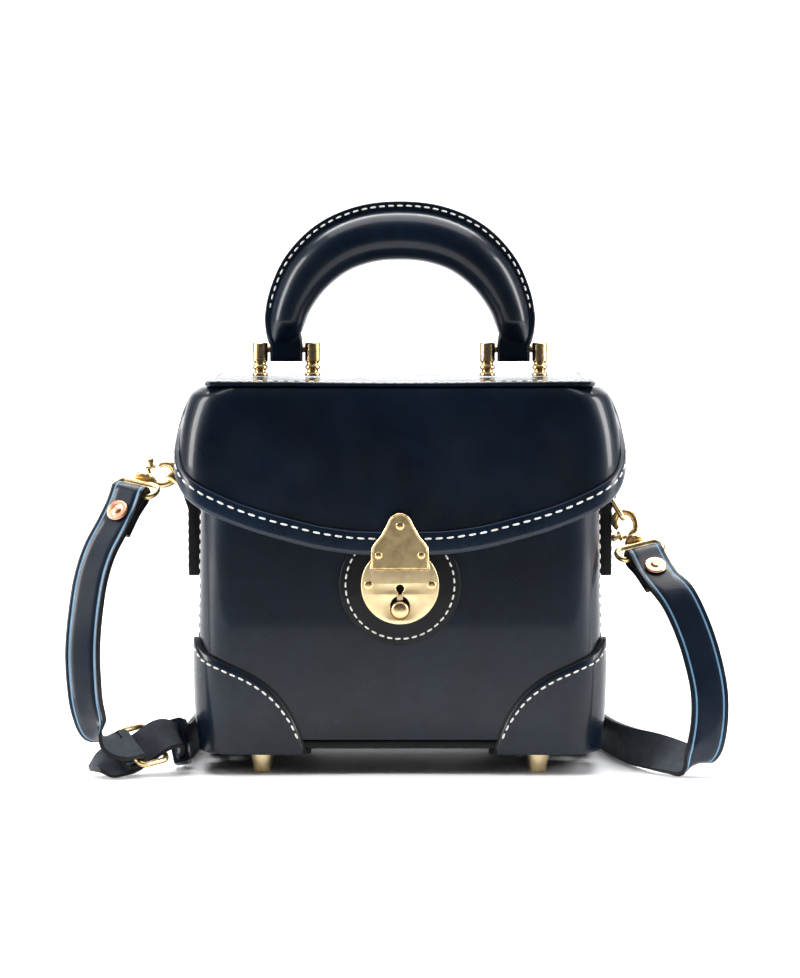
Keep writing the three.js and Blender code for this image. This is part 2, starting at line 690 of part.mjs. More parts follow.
function wireLoop(wide, long, wire, corner) {
  const half = wide / 2 - wire / 2;
  const reach = long - wire;
  const rings = [];
  const turns = [
    [half - corner, -corner, -Math.PI / 2],
    [half - corner, -(reach - corner), -Math.PI],
    [-(half - corner), -(reach - corner), Math.PI / 2],
    [-(half - corner), -corner, 0],
  ];
  const starts = [Math.PI / 2, 0, -Math.PI / 2, -Math.PI];
  turns.forEach(([x, z], k) => {
    for (let i = 0; i <= 3; i += 1) {
      const angle = starts[k] - (i / 3) * (Math.PI / 2);
      const out = new THREE.Vector3(Math.cos(angle), 0, Math.sin(angle));
      const centre = new THREE.Vector3(x, 0, z).addScaledVector(out, corner);
      const ring = [];
      for (let j = 0; j < WIRE_SIDES; j += 1) {
        const roll = (j / WIRE_SIDES) * Math.PI * 2;
        const p = centre.clone().addScaledVector(out, (Math.cos(roll) * wire) / 2);
        ring.push(p.add(new THREE.Vector3(0, (Math.sin(roll) * wire) / 2, 0)));
      }
      rings.push(ring);
    }
  });
  return loft(rings, true);
}

// Unit vectors of a hanging piece: where it points down, how its width runs and which way it faces.
function hangFrame(down, across) {
  const z = down.clone().negate().normalize();
  const x = across.clone().addScaledVector(z, -across.dot(z)).normalize();
  const y = new THREE.Vector3().crossVectors(z, x);
  return new THREE.Matrix4().makeBasis(x, y, z);
}

function place(mesh, at, frame) {
  mesh.position.copy(at);
  mesh.quaternion.setFromRotationMatrix(frame);
  return mesh;
}

const v = (x, y, z) => new THREE.Vector3(x, y, z);
const hands = [
  {
    hand: "left",
    side: -1,
    ring: v(-0.78, 0, 0.62),
    hook: v(-0.95, -0.05, -0.22),
    eye: v(-0.55, -0.64, -0.53),
    across: v(-0.86, 0.46, 0.16),
    hang: v(-0.38, -0.45, -0.81),
  },
  {
    hand: "right",
    side: 1,
    ring: v(0.52, -0.05, -0.85),
    hook: v(0.36, -0.36, -0.82),
    eye: v(0.46, -0.72, -0.5),
    across: v(0.93, 0.32, 0.2),
    hang: v(0.37, -0.74, -0.56),
  },
];

// Snap hook: a bent brass hook with its shank and round collar, a sprung gate across its mouth.
const HOOK_WIRE = 3.6;
const HOOK_INNER = 3.4;
const HOOK_SHANK = 11.8;
const COLLAR_RADIUS = 4.7;
const COLLAR_THICK = 2.6;
const GATE_LONG = 5.2;
const GATE_WIDE = 2.2;
const GATE_DOWN = 4;
const GATE_FOOT_RADIUS = 1;
const THUMB_LONG = 4.4;
const THUMB_DOWN = 6.4;

const hookCentre = HOOK_INNER + HOOK_WIRE / 2;
const hookBend = [];
for (let i = 0; i <= 10; i += 1) {
  const angle = -0.5 + (i / 10) * (Math.PI + 0.5);
  hookBend.push([hookCentre * Math.cos(angle), hookCentre * Math.sin(angle)]);
}
const HOOK_HEEL = 8.6;
const hookShank = [[-hookCentre, -3], [-hookCentre * 0.7, -6.2], [0, -HOOK_HEEL], [0, -HOOK_SHANK]];
const hookPath = [...hookBend, ...hookShank];
const hookCurve = new THREE.CatmullRomCurve3(hookPath.map(([x, z]) => v(x, 0, z)), false, "centripetal");
const hookWireShape = new THREE.Shape().absarc(0, 0, HOOK_WIRE / 2, 0, Math.PI * 2);
const hookWire = new THREE.ExtrudeGeometry(hookWireShape, {
  extrudePath: hookCurve, steps: 18, curveSegments: 3, bevelEnabled: false,
});

const HOOK_FORWARD = 8.2;
const eyeBars = {};
hands.forEach(({ hand, side, ring, hook, eye, across, hang }) => {
  const pivot = v(side * RING_PIVOT_X, 0, RING_PIVOT_Z);
  const ringFrame = hangFrame(ring, v(0, side, 0));
  place(add(`side_ring_${hand}`, wireLoop(RING_WIDE, RING_LONG, WIRE, 2.4), "brass"), pivot, ringFrame);
  const farBar = pivot.clone().addScaledVector(ring.clone().normalize(), RING_LONG - WIRE);
  farBar.y -= HOOK_FORWARD;
  const hookFrame = hangFrame(hook, v(-1, 0, 0));
  const hookOrigin = farBar.clone().addScaledVector(hook.clone().normalize(), HOOK_INNER - WIRE / 2 - 2 * FIT);
  const collarAt = hookOrigin.clone().addScaledVector(hook.clone().normalize(), HOOK_SHANK);
  const hangDown = hang.clone().normalize();
  const width = across.clone().addScaledVector(hangDown, -across.dot(hangDown)).normalize();
  const downEye = eye.clone().addScaledVector(width, -eye.dot(width)).normalize();
  const eyeFrame = hangFrame(downEye, width);
  const collar = rod(COLLAR_RADIUS, COLLAR_THICK, 14).rotateX(Math.PI / 2);
  collar.applyMatrix4(eyeFrame.clone().setPosition(collarAt));
  const wire = hookWire.clone().applyMatrix4(hookFrame.clone().setPosition(hookOrigin));
  add(`snap_hook_${hand}`, join(wire, collar), "brass");
  const gate = new THREE.Group();
  gate.position.copy(hookOrigin);
  gate.quaternion.setFromRotationMatrix(hookFrame);
  bag.add(gate);
  const bar = rod(GATE_WIDE / 2, GATE_LONG, 10).rotateX(Math.PI / 2);
  bar.translate(hookCentre, 0, -GATE_LONG / 2 - GATE_DOWN);
  const thumb = rod(GATE_WIDE * 0.9, THUMB_LONG, 12).rotateZ(Math.PI / 2);
  thumb.translate(hookCentre + THUMB_LONG / 2 + 0.2, 0, -THUMB_DOWN);
  const footFrom = (HOOK_WIRE + FIT) / 2;
  const foot = rod(GATE_FOOT_RADIUS, hookCentre - footFrom, 10).rotateZ(Math.PI / 2);
  foot.translate((hookCentre + footFrom) / 2, 0, GATE_FOOT_RADIUS - GATE_DOWN - GATE_LONG + FIT / 2);
  add(`hook_gate_${hand}`, join(bar, thumb, foot), "brass", gate);
  const eyeTop = collarAt.clone().addScaledVector(downEye, COLLAR_THICK / 2 + FIT + WIRE / 2);
  place(add(`hook_eye_${hand}`, wireLoop(EYE_WIDE, EYE_LONG, WIRE, 4), "brass"), eyeTop, eyeFrame);
  eyeBars[hand] = eyeTop.addScaledVector(downEye, EYE_LONG - WIRE).addScaledVector(width, EYE_SLIDE);
});

// A flat strap swept through stations; each gives its middle and the way its width runs.
function ribbon(stations, wide, thick, steps, from = 0, to = 1) {
  const line = new THREE.CatmullRomCurve3(stations.map((s) => s.at), false, "centripetal");
  const ways = new THREE.CatmullRomCurve3(stations.map((s) => s.across), false, "centripetal");
  const corners = [
    [-wide / 2, -thick / 2],
    [wide / 2, -thick / 2],
    [wide / 2, thick / 2],
    [-wide / 2, thick / 2],
  ];
  const rings = spread(steps, from, to).map((share) => {
    const tangent = line.getTangent(share);
    const across = ways.getPoint(share);
    across.addScaledVector(tangent, -across.dot(tangent)).normalize();
    const face = new THREE.Vector3().crossVectors(tangent, across);
    const at = line.getPoint(share);
    return corners.map(([a, b]) => at.clone().addScaledVector(across, a).addScaledVector(face, b));
  });
  return loft(rings);
}

// Unit vectors of a bar that a strap folds round: its way down and the way its outer face looks.
function foldFrame(bar, down, across, side) {
  const d = down.clone().normalize();
  const w = across.clone().addScaledVector(d, -across.dot(d)).normalize();
  const n = new THREE.Vector3().crossVectors(d, w).multiplyScalar(side);
  const at = (out, along) => bar.clone().addScaledVector(n, out).addScaledVector(d, along);
  return { d, w, n, at };
}

const LAYER = STRAP_THICK / 2 + FOLD_GAP / 2;
const eyeFold = [
  { out: -LAYER, down: FOLD_TAIL },
  { out: -LAYER, down: 10 },
  { out: -FOLD_RADIUS * 0.75, down: 4 },
  { out: -FOLD_RADIUS, down: 0 },
  { out: -FOLD_RADIUS * 0.71, down: -FOLD_RADIUS * 0.71 },
  { out: 0, down: -FOLD_RADIUS },
  { out: FOLD_RADIUS * 0.71, down: -FOLD_RADIUS * 0.71 },
  { out: FOLD_RADIUS, down: 0 },
  { out: FOLD_RADIUS * 0.75, down: 4 },
  { out: LAYER, down: 10 },
  { out: LAYER, down: FOLD_TAIL - 3 },
];

function foldStations(frame) {
  return eyeFold.map(({ out, down }) => ({ at: frame.at(out, down), across: frame.w }));
}

// Hanging and lying stations: out is the way outwards from the box's side, lean the width's angle above
// the floor and yaw its turn seen from above.
function stationsOf(rows, side) {
  return rows.map(({ out, y, z, lean, yaw }) => {
    const up = THREE.MathUtils.degToRad(lean);
    const turn = THREE.MathUtils.degToRad(yaw);
    const across = v(side * Math.cos(up) * Math.cos(turn), Math.cos(up) * Math.sin(turn), Math.sin(up));
    return { at: v(side * (BODY_WIDTH / 2 + out), y, z), across };
  });
}

const rightRows = [
  { out: 37, y: -47, z: 90, lean: 14, yaw: 4 },
  { out: 43.8, y: -52.5, z: 76, lean: 13, yaw: 4 },
  { out: 49, y: -57, z: 60, lean: 11, yaw: 5 },
  { out: 52.4, y: -60.5, z: 42, lean: 8, yaw: 8 },
  { out: 51.9, y: -62.5, z: 25, lean: 5, yaw: 10 },
  { out: 49, y: -63, z: 13.5, lean: 10, yaw: 15 },
  { out: 44.5, y: -60, z: 7.3, lean: 22, yaw: 18 },
  { out: 36, y: -52.5, z: 8.8, lean: 44, yaw: 20 },
  { out: 26.5, y: -41, z: 10.1, lean: 66, yaw: 20 },
  { out: 17.5, y: -24, z: 10, lean: 84, yaw: 15 },
  { out: 9.8, y: 2, z: 9.9, lean: 92, yaw: 10 },
  { out: 4.6, y: 29, z: 9.9, lean: 91, yaw: 10 },
  { out: 1.5, y: 52, z: 9.9, lean: 90, yaw: 10 },
];

// Behind the box: shares of its half width and the way back from its middle depth, standing on edge.
const STRAP_LIES = 9.9;
const behindStations = [
  { share: 0.874, back: 28.5 },
  { share: 0.485, back: 46.5 },
  { share: 0, back: 50.5 },
  { share: -0.485, back: 46.5 },
  { share: -0.864, back: 28.5 },
].map(({ share, back }) => ({
  at: v((share * BODY_WIDTH) / 2, BODY_DEPTH / 2 + back, STRAP_LIES),
  across: v(0, 0, 1),
}));
const leftRunRows = [
  { out: 2, y: 54, z: 9.9, lean: 90, yaw: 20 },
  { out: 4.6, y: 22, z: 9.9, lean: 90, yaw: 20 },
  { out: 6.8, y: -10, z: 10.6, lean: 88, yaw: 45 },
  { out: 10.2, y: -31, z: 14, lean: 74, yaw: 45 },
];
const leftHangRows = [
  { out: 49.6, y: -31.5, z: 112, lean: 9, yaw: 26 },
  { out: 53.6, y: -37, z: 99, lean: 6, yaw: 25 },
  { out: 56, y: -44, z: 82, lean: 3, yaw: 24 },
  { out: 57.1, y: -50, z: 64, lean: 1, yaw: 22 },
  { out: 56.2, y: -55.5, z: 48.5, lean: 0, yaw: 24 },
  { out: 53.8, y: -60, z: 33.5, lean: 4, yaw: 30 },
  { out: 48.6, y: -63, z: 22, lean: 18, yaw: 38 },
];

const BUCKLE_WIDE = 27;
const BUCKLE_LONG = 20;
const BUCKLE_FOLD = 3.9;
const BUCKLE_OUT = 33.5;
const buckleAt = v(-BODY_WIDTH / 2 - BUCKLE_OUT, -57.5, 14);
const buckleFrame = foldFrame(buckleAt, v(0.75, 0.63, 0.1), v(-0.55, 0.55, 0.63), -1);

const rightFold = foldFrame(eyeBars.right, hands[1].hang, hands[1].across, 1);
const leftFold = foldFrame(eyeBars.left, hands[0].hang, hands[0].across, -1);

const shortStations = [
  ...foldStations(leftFold),
  ...stationsOf(leftHangRows, -1),
  ...[[-BUCKLE_FOLD, -6], [-BUCKLE_FOLD, 0], [0, BUCKLE_FOLD], [BUCKLE_FOLD, 0], [BUCKLE_FOLD, -5]].map(
    ([out, down]) => ({ at: buckleFrame.at(out, down), across: buckleFrame.w }),
  ),
];
const longStations = [
  ...foldStations(rightFold),
  ...stationsOf(rightRows, 1),
  ...behindStations,
  ...stationsOf(leftRunRows, -1),
  ...[[-4.4, 25], [-4.4, 18], [2.5, 9], [7.4, 1.5], [7.6, -7]].map(
    ([out, down]) => ({ at: buckleFrame.at(out, down), across: buckleFrame.w }),
  ),
  ...stationsOf([{ out: 50.5, y: -62, z: 4.4, lean: 8, yaw: 110 }], -1),
];
const along = (frame, from, to, out, radius, segments = 12) => {
  const turn = new THREE.Matrix4().makeBasis(frame.w, frame.n, frame.d);
  if (turn.determinant() < 0) {
    turn.makeBasis(frame.w.clone().negate(), frame.n, frame.d);
  }
  const body = rod(radius, to - from, segments).rotateX(Math.PI / 2);
  return body.applyMatrix4(turn.setPosition(frame.at(out, (from + to) / 2)));
};

// Rivets: a copper burr outside, a shank through both layers and a flat washer inside.
const RIVET_SHANK = 2;
const rivetHalf = STRAP_THICK + FOLD_GAP / 2 + 0.95;
const rivetProfile = [
  [0, -rivetHalf - FIT - 1.2],
  [RIVET_RADIUS * 0.8, -rivetHalf - FIT - 1.2],
  [RIVET_RADIUS * 0.8, -rivetHalf - FIT],
  [RIVET_SHANK, -rivetHalf - FIT],
  [RIVET_SHANK, rivetHalf + FIT],
  [RIVET_RADIUS, rivetHalf + FIT],
  [RIVET_RADIUS, rivetHalf + FIT + 0.5],
  [RIVET_RADIUS * 0.75, rivetHalf + FIT + 1],
  [RIVET_RADIUS * 0.4, rivetHalf + FIT + 0.9],
  [RIVET_RADIUS * 0.3, rivetHalf + FIT + 1.4],
  [0, rivetHalf + FIT + 1.5],
];

function acrossFold(geometry, frame, down) {
  const along = new THREE.Vector3().crossVectors(frame.n, frame.w);
  const turn = new THREE.Matrix4().makeBasis(frame.w, along, frame.n);
  return geometry.applyMatrix4(turn.setPosition(frame.at(0, down)));
}

const rivetHole = (frame) =>
  acrossFold(rod(RIVET_SHANK + FIT, 20, 14).rotateX(Math.PI / 2), frame, RIVET_DOWN);
const prongOut = BUCKLE_FOLD - 0.6;
const PRONG_RADIUS = 1.1;
const strapShort = ribbon(shortStations, STRAP_WIDE, STRAP_THICK, 60);
const strapLong = ribbon(longStations, STRAP_WIDE, STRAP_THICK, 98);
const prongSlot = along(buckleFrame, -9, 8, prongOut + 1, 2.9);
const prongHole = along(buckleFrame, 3, 15, prongOut, 1.8);
add("strap_short", cut(strapShort, rivetHole(leftFold), prongSlot), "leather");
add("strap_long", cut(strapLong, rivetHole(rightFold), prongHole), "leather");
add("strap_rivet_left", acrossFold(turned(rivetProfile, 10), leftFold, RIVET_DOWN), "copper");
add("strap_rivet_right", acrossFold(turned(rivetProfile, 10), rightFold, RIVET_DOWN), "copper");

const buckle = wireLoop(BUCKLE_WIDE, BUCKLE_LONG, WIRE, 3.5);
place(add("buckle_frame", buckle, "brass"), buckleFrame.at(0, 0), hangFrame(buckleFrame.d, buckleFrame.w));
add("buckle_prong", along(buckleFrame, -1, BUCKLE_LONG - WIRE + 1, prongOut, PRONG_RADIUS), "brass");

// Keeper: a closed leather band round the long strap beside the buckle.
const KEEPER_ROOM = 0.9;
const KEEPER_SLACK = 0.4;
const KEEPER_FROM = 0.834;
const KEEPER_TO = 0.846;
function band(grow, spare) {
  const wide = STRAP_WIDE + 2 * (KEEPER_SLACK + grow);
  const thick = STRAP_THICK + 2 * (KEEPER_ROOM + grow);
  return ribbon(longStations, wide, thick, 5, KEEPER_FROM - spare, KEEPER_TO + spare);
}
const keeper = cut(band(KEEPER_THICK, 0), band(0, 0.004));
add("strap_keeper", keeper, "leather");

// The frame's origin lies on the floor under the middle of the whole outline's depth, strap included.
const outlineBox = new THREE.Box3().setFromObject(bag, true);
bag.position.y = -(outlineBox.min.y + outlineBox.max.y) / 2;

export default group;
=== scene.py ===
from math import acos, asin, copysign, cos, exp, pi, radians, sin, sqrt

import bmesh
import bpy
import numpy as np
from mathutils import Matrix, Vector


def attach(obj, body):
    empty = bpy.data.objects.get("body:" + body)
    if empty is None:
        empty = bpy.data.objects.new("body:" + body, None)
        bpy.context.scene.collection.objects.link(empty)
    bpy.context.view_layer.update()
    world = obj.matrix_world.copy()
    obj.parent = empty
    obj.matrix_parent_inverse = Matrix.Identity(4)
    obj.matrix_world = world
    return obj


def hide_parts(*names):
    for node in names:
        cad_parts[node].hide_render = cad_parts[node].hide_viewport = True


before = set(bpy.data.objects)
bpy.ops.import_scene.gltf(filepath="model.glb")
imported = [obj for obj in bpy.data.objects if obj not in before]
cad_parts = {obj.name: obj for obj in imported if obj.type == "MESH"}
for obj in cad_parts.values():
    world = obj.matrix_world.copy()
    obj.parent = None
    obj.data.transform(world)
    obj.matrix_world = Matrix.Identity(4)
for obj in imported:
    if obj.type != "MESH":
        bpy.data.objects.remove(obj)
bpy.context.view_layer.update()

# Lengths are in millimetres in the bag's own frame; its box is centred on y = 0.
MM = 0.001
BAG_Y = -16.7

# Camera: as far off and as high as the photograph's.
PHOTO_TALL = 978
FOCAL_PX = 3600
SENSOR = 36
CAMERA_Y = -1871.2
CAMERA_Z = 287
CAMERA_PITCH = 4.51

scene = bpy.context.scene
camera = bpy.data.objects.new("camera", bpy.data.cameras.new("camera"))
scene.collection.objects.link(camera)
camera.location = (0, CAMERA_Y * MM, CAMERA_Z * MM)
camera.rotation_euler = (radians(90 - CAMERA_PITCH), 0, 0)
camera.data.sensor_width = SENSOR
camera.data.lens = FOCAL_PX * SENSOR / PHOTO_TALL
camera.data.clip_start = 0.05
camera.data.clip_end = 50
scene.camera = camera
scene.view_settings.view_transform = "Standard"


# Shapes in numbers.
def vec(*values):
    return np.array(values, float)


def unit(v):
    return v / np.linalg.norm(v)


def glide(xs, ys):
    """A smooth curve through points that never overshoots them."""
    xs, ys = np.array(xs, float), np.array(ys, float)
    h, d = np.diff(xs), np.diff(ys) / np.diff(xs)
    m = np.zeros(len(xs))
    m[0], m[-1] = d[0], d[-1]
    for i in range(1, len(xs) - 1):
        if d[i - 1] * d[i] > 0:
            a, b = 2 * h[i] + h[i - 1], h[i] + 2 * h[i - 1]
            m[i] = (a + b) / (a / d[i - 1] + b / d[i])

    def at(x):
        x = np.clip(x, xs[0], xs[-1])
        i = np.clip(np.searchsorted(xs, x) - 1, 0, len(xs) - 2)
        t = (x - xs[i]) / h[i]
        ends = (2 * t**3 - 3 * t**2 + 1) * ys[i] + (3 * t**2 - 2 * t**3) * ys[i + 1]
        return ends + h[i] * ((t**3 - 2 * t**2 + t) * m[i] + (t**3 - t**2) * m[i + 1])

    return at


class Curve:
    """A centripetal curve through points; share 0 to 1 runs evenly from point to point."""

    def __init__(self, points):
        self.points = np.array(points, float)

    def at(self, share):
        p, last = self.points, len(self.points) - 1
        place = np.clip(share, 0, 1) * last
        i = min(int(place), last - 1)
        w = place - i
        b, c = p[i], p[i + 1]
        a = p[i - 1] if i else 2 * b - c
        d = p[i + 2] if i + 2 <= last else 2 * c - b
        ab, bc, cd = (max(np.linalg.norm(q - r), 1e-6) ** 0.5 for q, r in ((b, a), (c, b), (d, c)))
        m1 = ((b - a) / ab - (c - a) / (ab + bc) + (c - b) / bc) * bc
        m2 = ((c - b) / bc - (d - b) / (bc + cd) + (d - c) / cd) * bc
        return b + m1 * w + (3 * (c - b) - 2 * m1 - m2) * w**2 + (2 * (b - c) + m1 + m2) * w**3


def run_along(points):
    """How far along a line of points each one lies."""
    return np.concatenate([[0], np.cumsum(np.linalg.norm(np.diff(points, axis=0), axis=1))])


def round_ring(x, y, sides):
    """A ring of unit radius in the plane of x and y."""
    turn = np.arange(sides) / sides * 2 * pi
    return np.outer(np.cos(turn), x) + np.outer(np.sin(turn), y)


# Meshes.
def made(name, parts, looks, sharp=38, body="bag", weld=1e-5):
    """One object from several (points, faces, slots) parts."""
    mesh = bpy.data.meshes.new(name)
    points, faces, slots = [], [], []
    for part in parts:
        start = len(points)
        points += [(x * MM, (y + BAG_Y) * MM, z * MM) for x, y, z in np.array(part[0])]
        faces += [tuple(start + k for k in face) for face in part[1]]
        slots += list(part[2]) if len(part) > 2 else [0] * len(part[1])
    mesh.from_pydata(points, [], faces)
    for look in looks:
        mesh.materials.append(look)
    mesh.polygons.foreach_set("material_index", slots)
    bm = bmesh.new()
    bm.from_mesh(mesh)
    bmesh.ops.remove_doubles(bm, verts=bm.verts, dist=weld)
    bmesh.ops.recalc_face_normals(bm, faces=bm.faces)
    bm.to_mesh(mesh)
    bm.free()
    mesh.shade_smooth()
    mesh.set_sharp_from_angle(angle=radians(sharp))
    obj = bpy.data.objects.new(name, mesh)
    scene.collection.objects.link(obj)
    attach(obj, body)
    return obj


def loft(rings, round_along=False, caps=True, slot_of=None):
    size, count = len(rings[0]), len(rings)
    faces, slots = [], []
    for i in range(count if round_along else count - 1):
        low, high = i * size, ((i + 1) % count) * size
        for j in range(size):
            k = (j + 1) % size
            faces.append((low + j, low + k, high + k, high + j))
            slots.append(slot_of(i, j) if slot_of else 0)
    if caps and not round_along:
        faces += [tuple(range(size))[::-1], tuple((count - 1) * size + j for j in range(size))]
        slots += [slot_of(-1, 0) if slot_of else 0] * 2
    return np.concatenate(rings), faces, slots


def fillet(points, radius, steps=3, closed=False):
    """Rounds the corners of a flat outline."""
    points = [np.array(p, float) for p in points]
    out = []
    for i, p in enumerate(points):
        if not closed and i in (0, len(points) - 1):
            out.append(p)
            continue
        a, b = points[i - 1] - p, points[(i + 1) % len(points)] - p
        la, lb = np.linalg.norm(a), np.linalg.norm(b)
        if min(la, lb) < 1e-6:
            out.append(p)
            continue
        r = min(radius, la * 0.45, lb * 0.45)
        for k in range(steps + 1):
            t = k / steps
            bent = (1 - t) ** 2 * (p + a / la * r) + t**2 * (p + b / lb * r)
            out.append(bent + 2 * t * (1 - t) * p)
    return np.array(out)


def lathe(profile, at, axis=(0, 0, 1), sides=32, radius=0.3, slot=0):
    """A turned part; profile holds (radius, height) from the axis back to the axis."""
    profile = fillet(profile, radius)
    z = unit(np.array(axis, float))
    x = unit(np.cross(z, vec(0.3, 0.9, 0.2)))
    y = np.cross(z, x)
    rings = [at + h * z + max(r, 1e-4) * round_ring(x, y, sides) for r, h in profile]
    points, faces, _ = loft(rings)
    return points, faces, [slot] * len(faces)


def tube(path, radius, sides=14, closed=False, slot=0):
    """Round wire along a line of points; radius may change along it."""
    path = np.array(path, float)
    count = len(path)
    radii = np.broadcast_to(radius, count)
    ahead = np.roll(path, -1, 0) - np.roll(path, 1, 0)
    if not closed:
        ahead[0], ahead[-1] = path[1] - path[0], path[-1] - path[-2]
    t = unit(ahead[0])
    x = unit(np.cross(t, vec(0.31, 0.53, 0.79)))
    rings = []
    for i in range(count):
        t = unit(ahead[i])
        x = unit(x - x.dot(t) * t)
        rings.append(path[i] + radii[i] * round_ring(x, np.cross(t, x), sides))
    if not closed:
        points, faces, _ = loft(rings)
        return points, faces, [slot] * len(faces)
    # The last ring may have turned against the first, so it joins it some sides further on.
    twist = min(range(sides), key=lambda k: np.linalg.norm(np.roll(rings[-1], -k, 0) - rings[0]))
    faces = []
    for i in range(count):
        shift = twist if i == count - 1 else 0
        low, high = i * sides, (i + 1) % count * sides
        for j in range(sides):
            k = (j + 1) % sides
            faces.append((low + (j + shift) % sides, low + (k + shift) % sides, high + k, high + j))
    return np.concatenate(rings), faces, [slot] * len(faces)


def plate(loops, front, thick, bevel, slot=0):
    """A flat plate drawn in x and z with holes and rounded edges, from its front plane backwards."""
    curve = bpy.data.curves.new("plate", "CURVE")
    curve.dimensions = "2D"
    curve.fill_mode = "BOTH"
    for loop in loops:
        spline = curve.splines.new("POLY")
        spline.points.add(len(loop) - 1)
        for point, (x, z) in zip(spline.points, loop):
            point.co = (x, z, 0, 1)
        spline.use_cyclic_u = True
    curve.extrude = thick / 2 - bevel
    curve.bevel_depth = bevel
    curve.bevel_resolution = 2
    curve.offset = -bevel
    obj = bpy.data.objects.new("plate", curve)
    scene.collection.objects.link(obj)
    bpy.context.view_layer.update()
    depsgraph = bpy.context.evaluated_depsgraph_get()
    mesh = bpy.data.meshes.new_from_object(obj.evaluated_get(depsgraph))
    points = np.array([v.co for v in mesh.vertices])
    faces = [tuple(p.vertices) for p in mesh.polygons]
    bpy.data.objects.remove(obj)
    bpy.data.curves.remove(curve)
    points = np.stack([points[:, 0], front + thick / 2 - points[:, 2], points[:, 1]], 1)
    return points, faces, [slot] * len(faces)


def arc_loop(radius, z, start, end, steps, x=0.0):
    """Points of an arc drawn in x and z."""
    return [(x + radius * cos(a), z + radius * sin(a)) for a in np.linspace(start, end, steps)]


STITCH_ROWS, STITCH_SIDES = 7, 8
STITCH_REACH = 0.4


def stitch_row(path, normals, pitch=5.2, long=3.6, thick=0.95, lift=0.15, closed=False):
    """Thread stitches as small pillows along a line on a surface."""
    path, normals = np.array(path, float), np.array(normals, float)
    run = run_along(path)
    count = max(1, int(round(run[-1] / pitch - (0 if closed else 0.2))))
    gap = run[-1] / count if closed else pitch
    first = (run[-1] - gap * (count - 1)) / 2 if not closed else gap / 2

    def at(s, values):
        return np.array([np.interp(s, run, values[:, k]) for k in range(3)])

    parts = []
    for i in range(count):
        s = first + i * gap
        n = unit(at(s, normals))
        t = unit(at(min(s + STITCH_REACH, run[-1]), path) - at(max(s - STITCH_REACH, 0), path))
        side = np.cross(n, t)
        wobble = 0.05 * sin(i * 12.9898 + 1.7)
        t = t * cos(wobble) + side * sin(wobble)
        side = np.cross(n, t)
        centre = at(s, path)
        rings = []
        for a in np.linspace(-1, 1, STITCH_ROWS):
            size = sqrt(max(0.06, 1 - abs(a) ** 3))
            middle = centre + t * (a * long / 2) + n * (lift - 0.45 * thick * a**4)
            rings.append(middle + thick / 2 * size * round_ring(side, 0.85 * n, STITCH_SIDES))
        parts.append(loft(rings))
    return parts


# Materials.
class Look:
    """A node material built step by step."""

    def __init__(self, name):
        self.material = bpy.data.materials.new(name)
        self.material.use_nodes = True
        self.tree = self.material.node_tree
        self.tree.nodes.clear()
        self.shader = self.node("ShaderNodeBsdfPrincipled")
        self.link(self.shader.outputs[0], self.node("ShaderNodeOutputMaterial").inputs[0])
        self.place = self.node("ShaderNodeTexCoord").outputs["Object"]

    def node(self, kind, **inputs):
        node = self.tree.nodes.new(kind)
        for name, value in inputs.items():
            self.feed(value, node.inputs[name])
        return node

    def link(self, a, b):
        self.tree.links.new(a, b)

    def put(self, **values):
        for key, value in values.items():
            self.shader.inputs[key.replace("_", " ")].default_value = value

    def noise(self, scale, detail=3.0, rough=0.55, stretch=None, distort=0.0):
        where = self.place
        if stretch:
            node = self.node("ShaderNodeMapping", Vector=self.place)
            node.inputs["Scale"].default_value = stretch
            where = node.outputs[0]
        node = self.node("ShaderNodeTexNoise", Scale=scale, Detail=detail, Roughness=rough)
        self.feed(distort, node.inputs["Distortion"])
        self.feed(where, node.inputs["Vector"])
        return node.outputs[0]

    def cells(self, scale):
        return self.node("ShaderNodeTexVoronoi", Scale=scale, Vector=self.place).outputs["Distance"]

    def ramp(self, source, low, high, start=0.35, end=0.65):
        """Source from start to end, spread from low to high: numbers, or colours."""
        node = self.node("ShaderNodeValToRGB")
        for stop, position, value in zip(node.color_ramp.elements, (start, end), (low, high)):
            stop.position = position
            stop.color = (*value, 1) if hasattr(value, "__len__") else (value,) * 3 + (1,)
        self.link(source, node.inputs[0])
        return node.outputs[0]

    def mix(self, factor, a, b):
        node = self.node("ShaderNodeMix")
        node.data_type = "RGBA"
        self.feed(factor, node.inputs[0])
        self.feed(a, node.inputs[6])
        self.feed(b, node.inputs[7])
        return node.outputs[2]

    def feed(self, source, socket):
        if hasattr(source, "links"):
            self.link(source, socket)
        elif hasattr(source, "__len__"):
            socket.default_value = (*source, 1)
        else:
            socket.default_value = source

    def maths(self, kind, a, b=0.0):
        node = self.node("ShaderNodeMath")
        node.operation = kind
        self.feed(a, node.inputs[0])
        self.feed(b, node.inputs[1])
        return node.outputs[0]

    def colour(self, source):
        self.link(source, self.shader.inputs["Base Color"])

    def rough(self, source):
        self.link(source, self.shader.inputs["Roughness"])

    def bump(self, *layers):
        """Layers of (height, depth in millimetres)."""
        normal = None
        for height, depth in layers:
            node = self.node("ShaderNodeBump", Distance=depth * MM, Strength=1, Height=height)
            if normal:
                self.link(normal, node.inputs["Normal"])
            normal = node.outputs[0]
        self.link(normal, self.shader.inputs["Normal"])


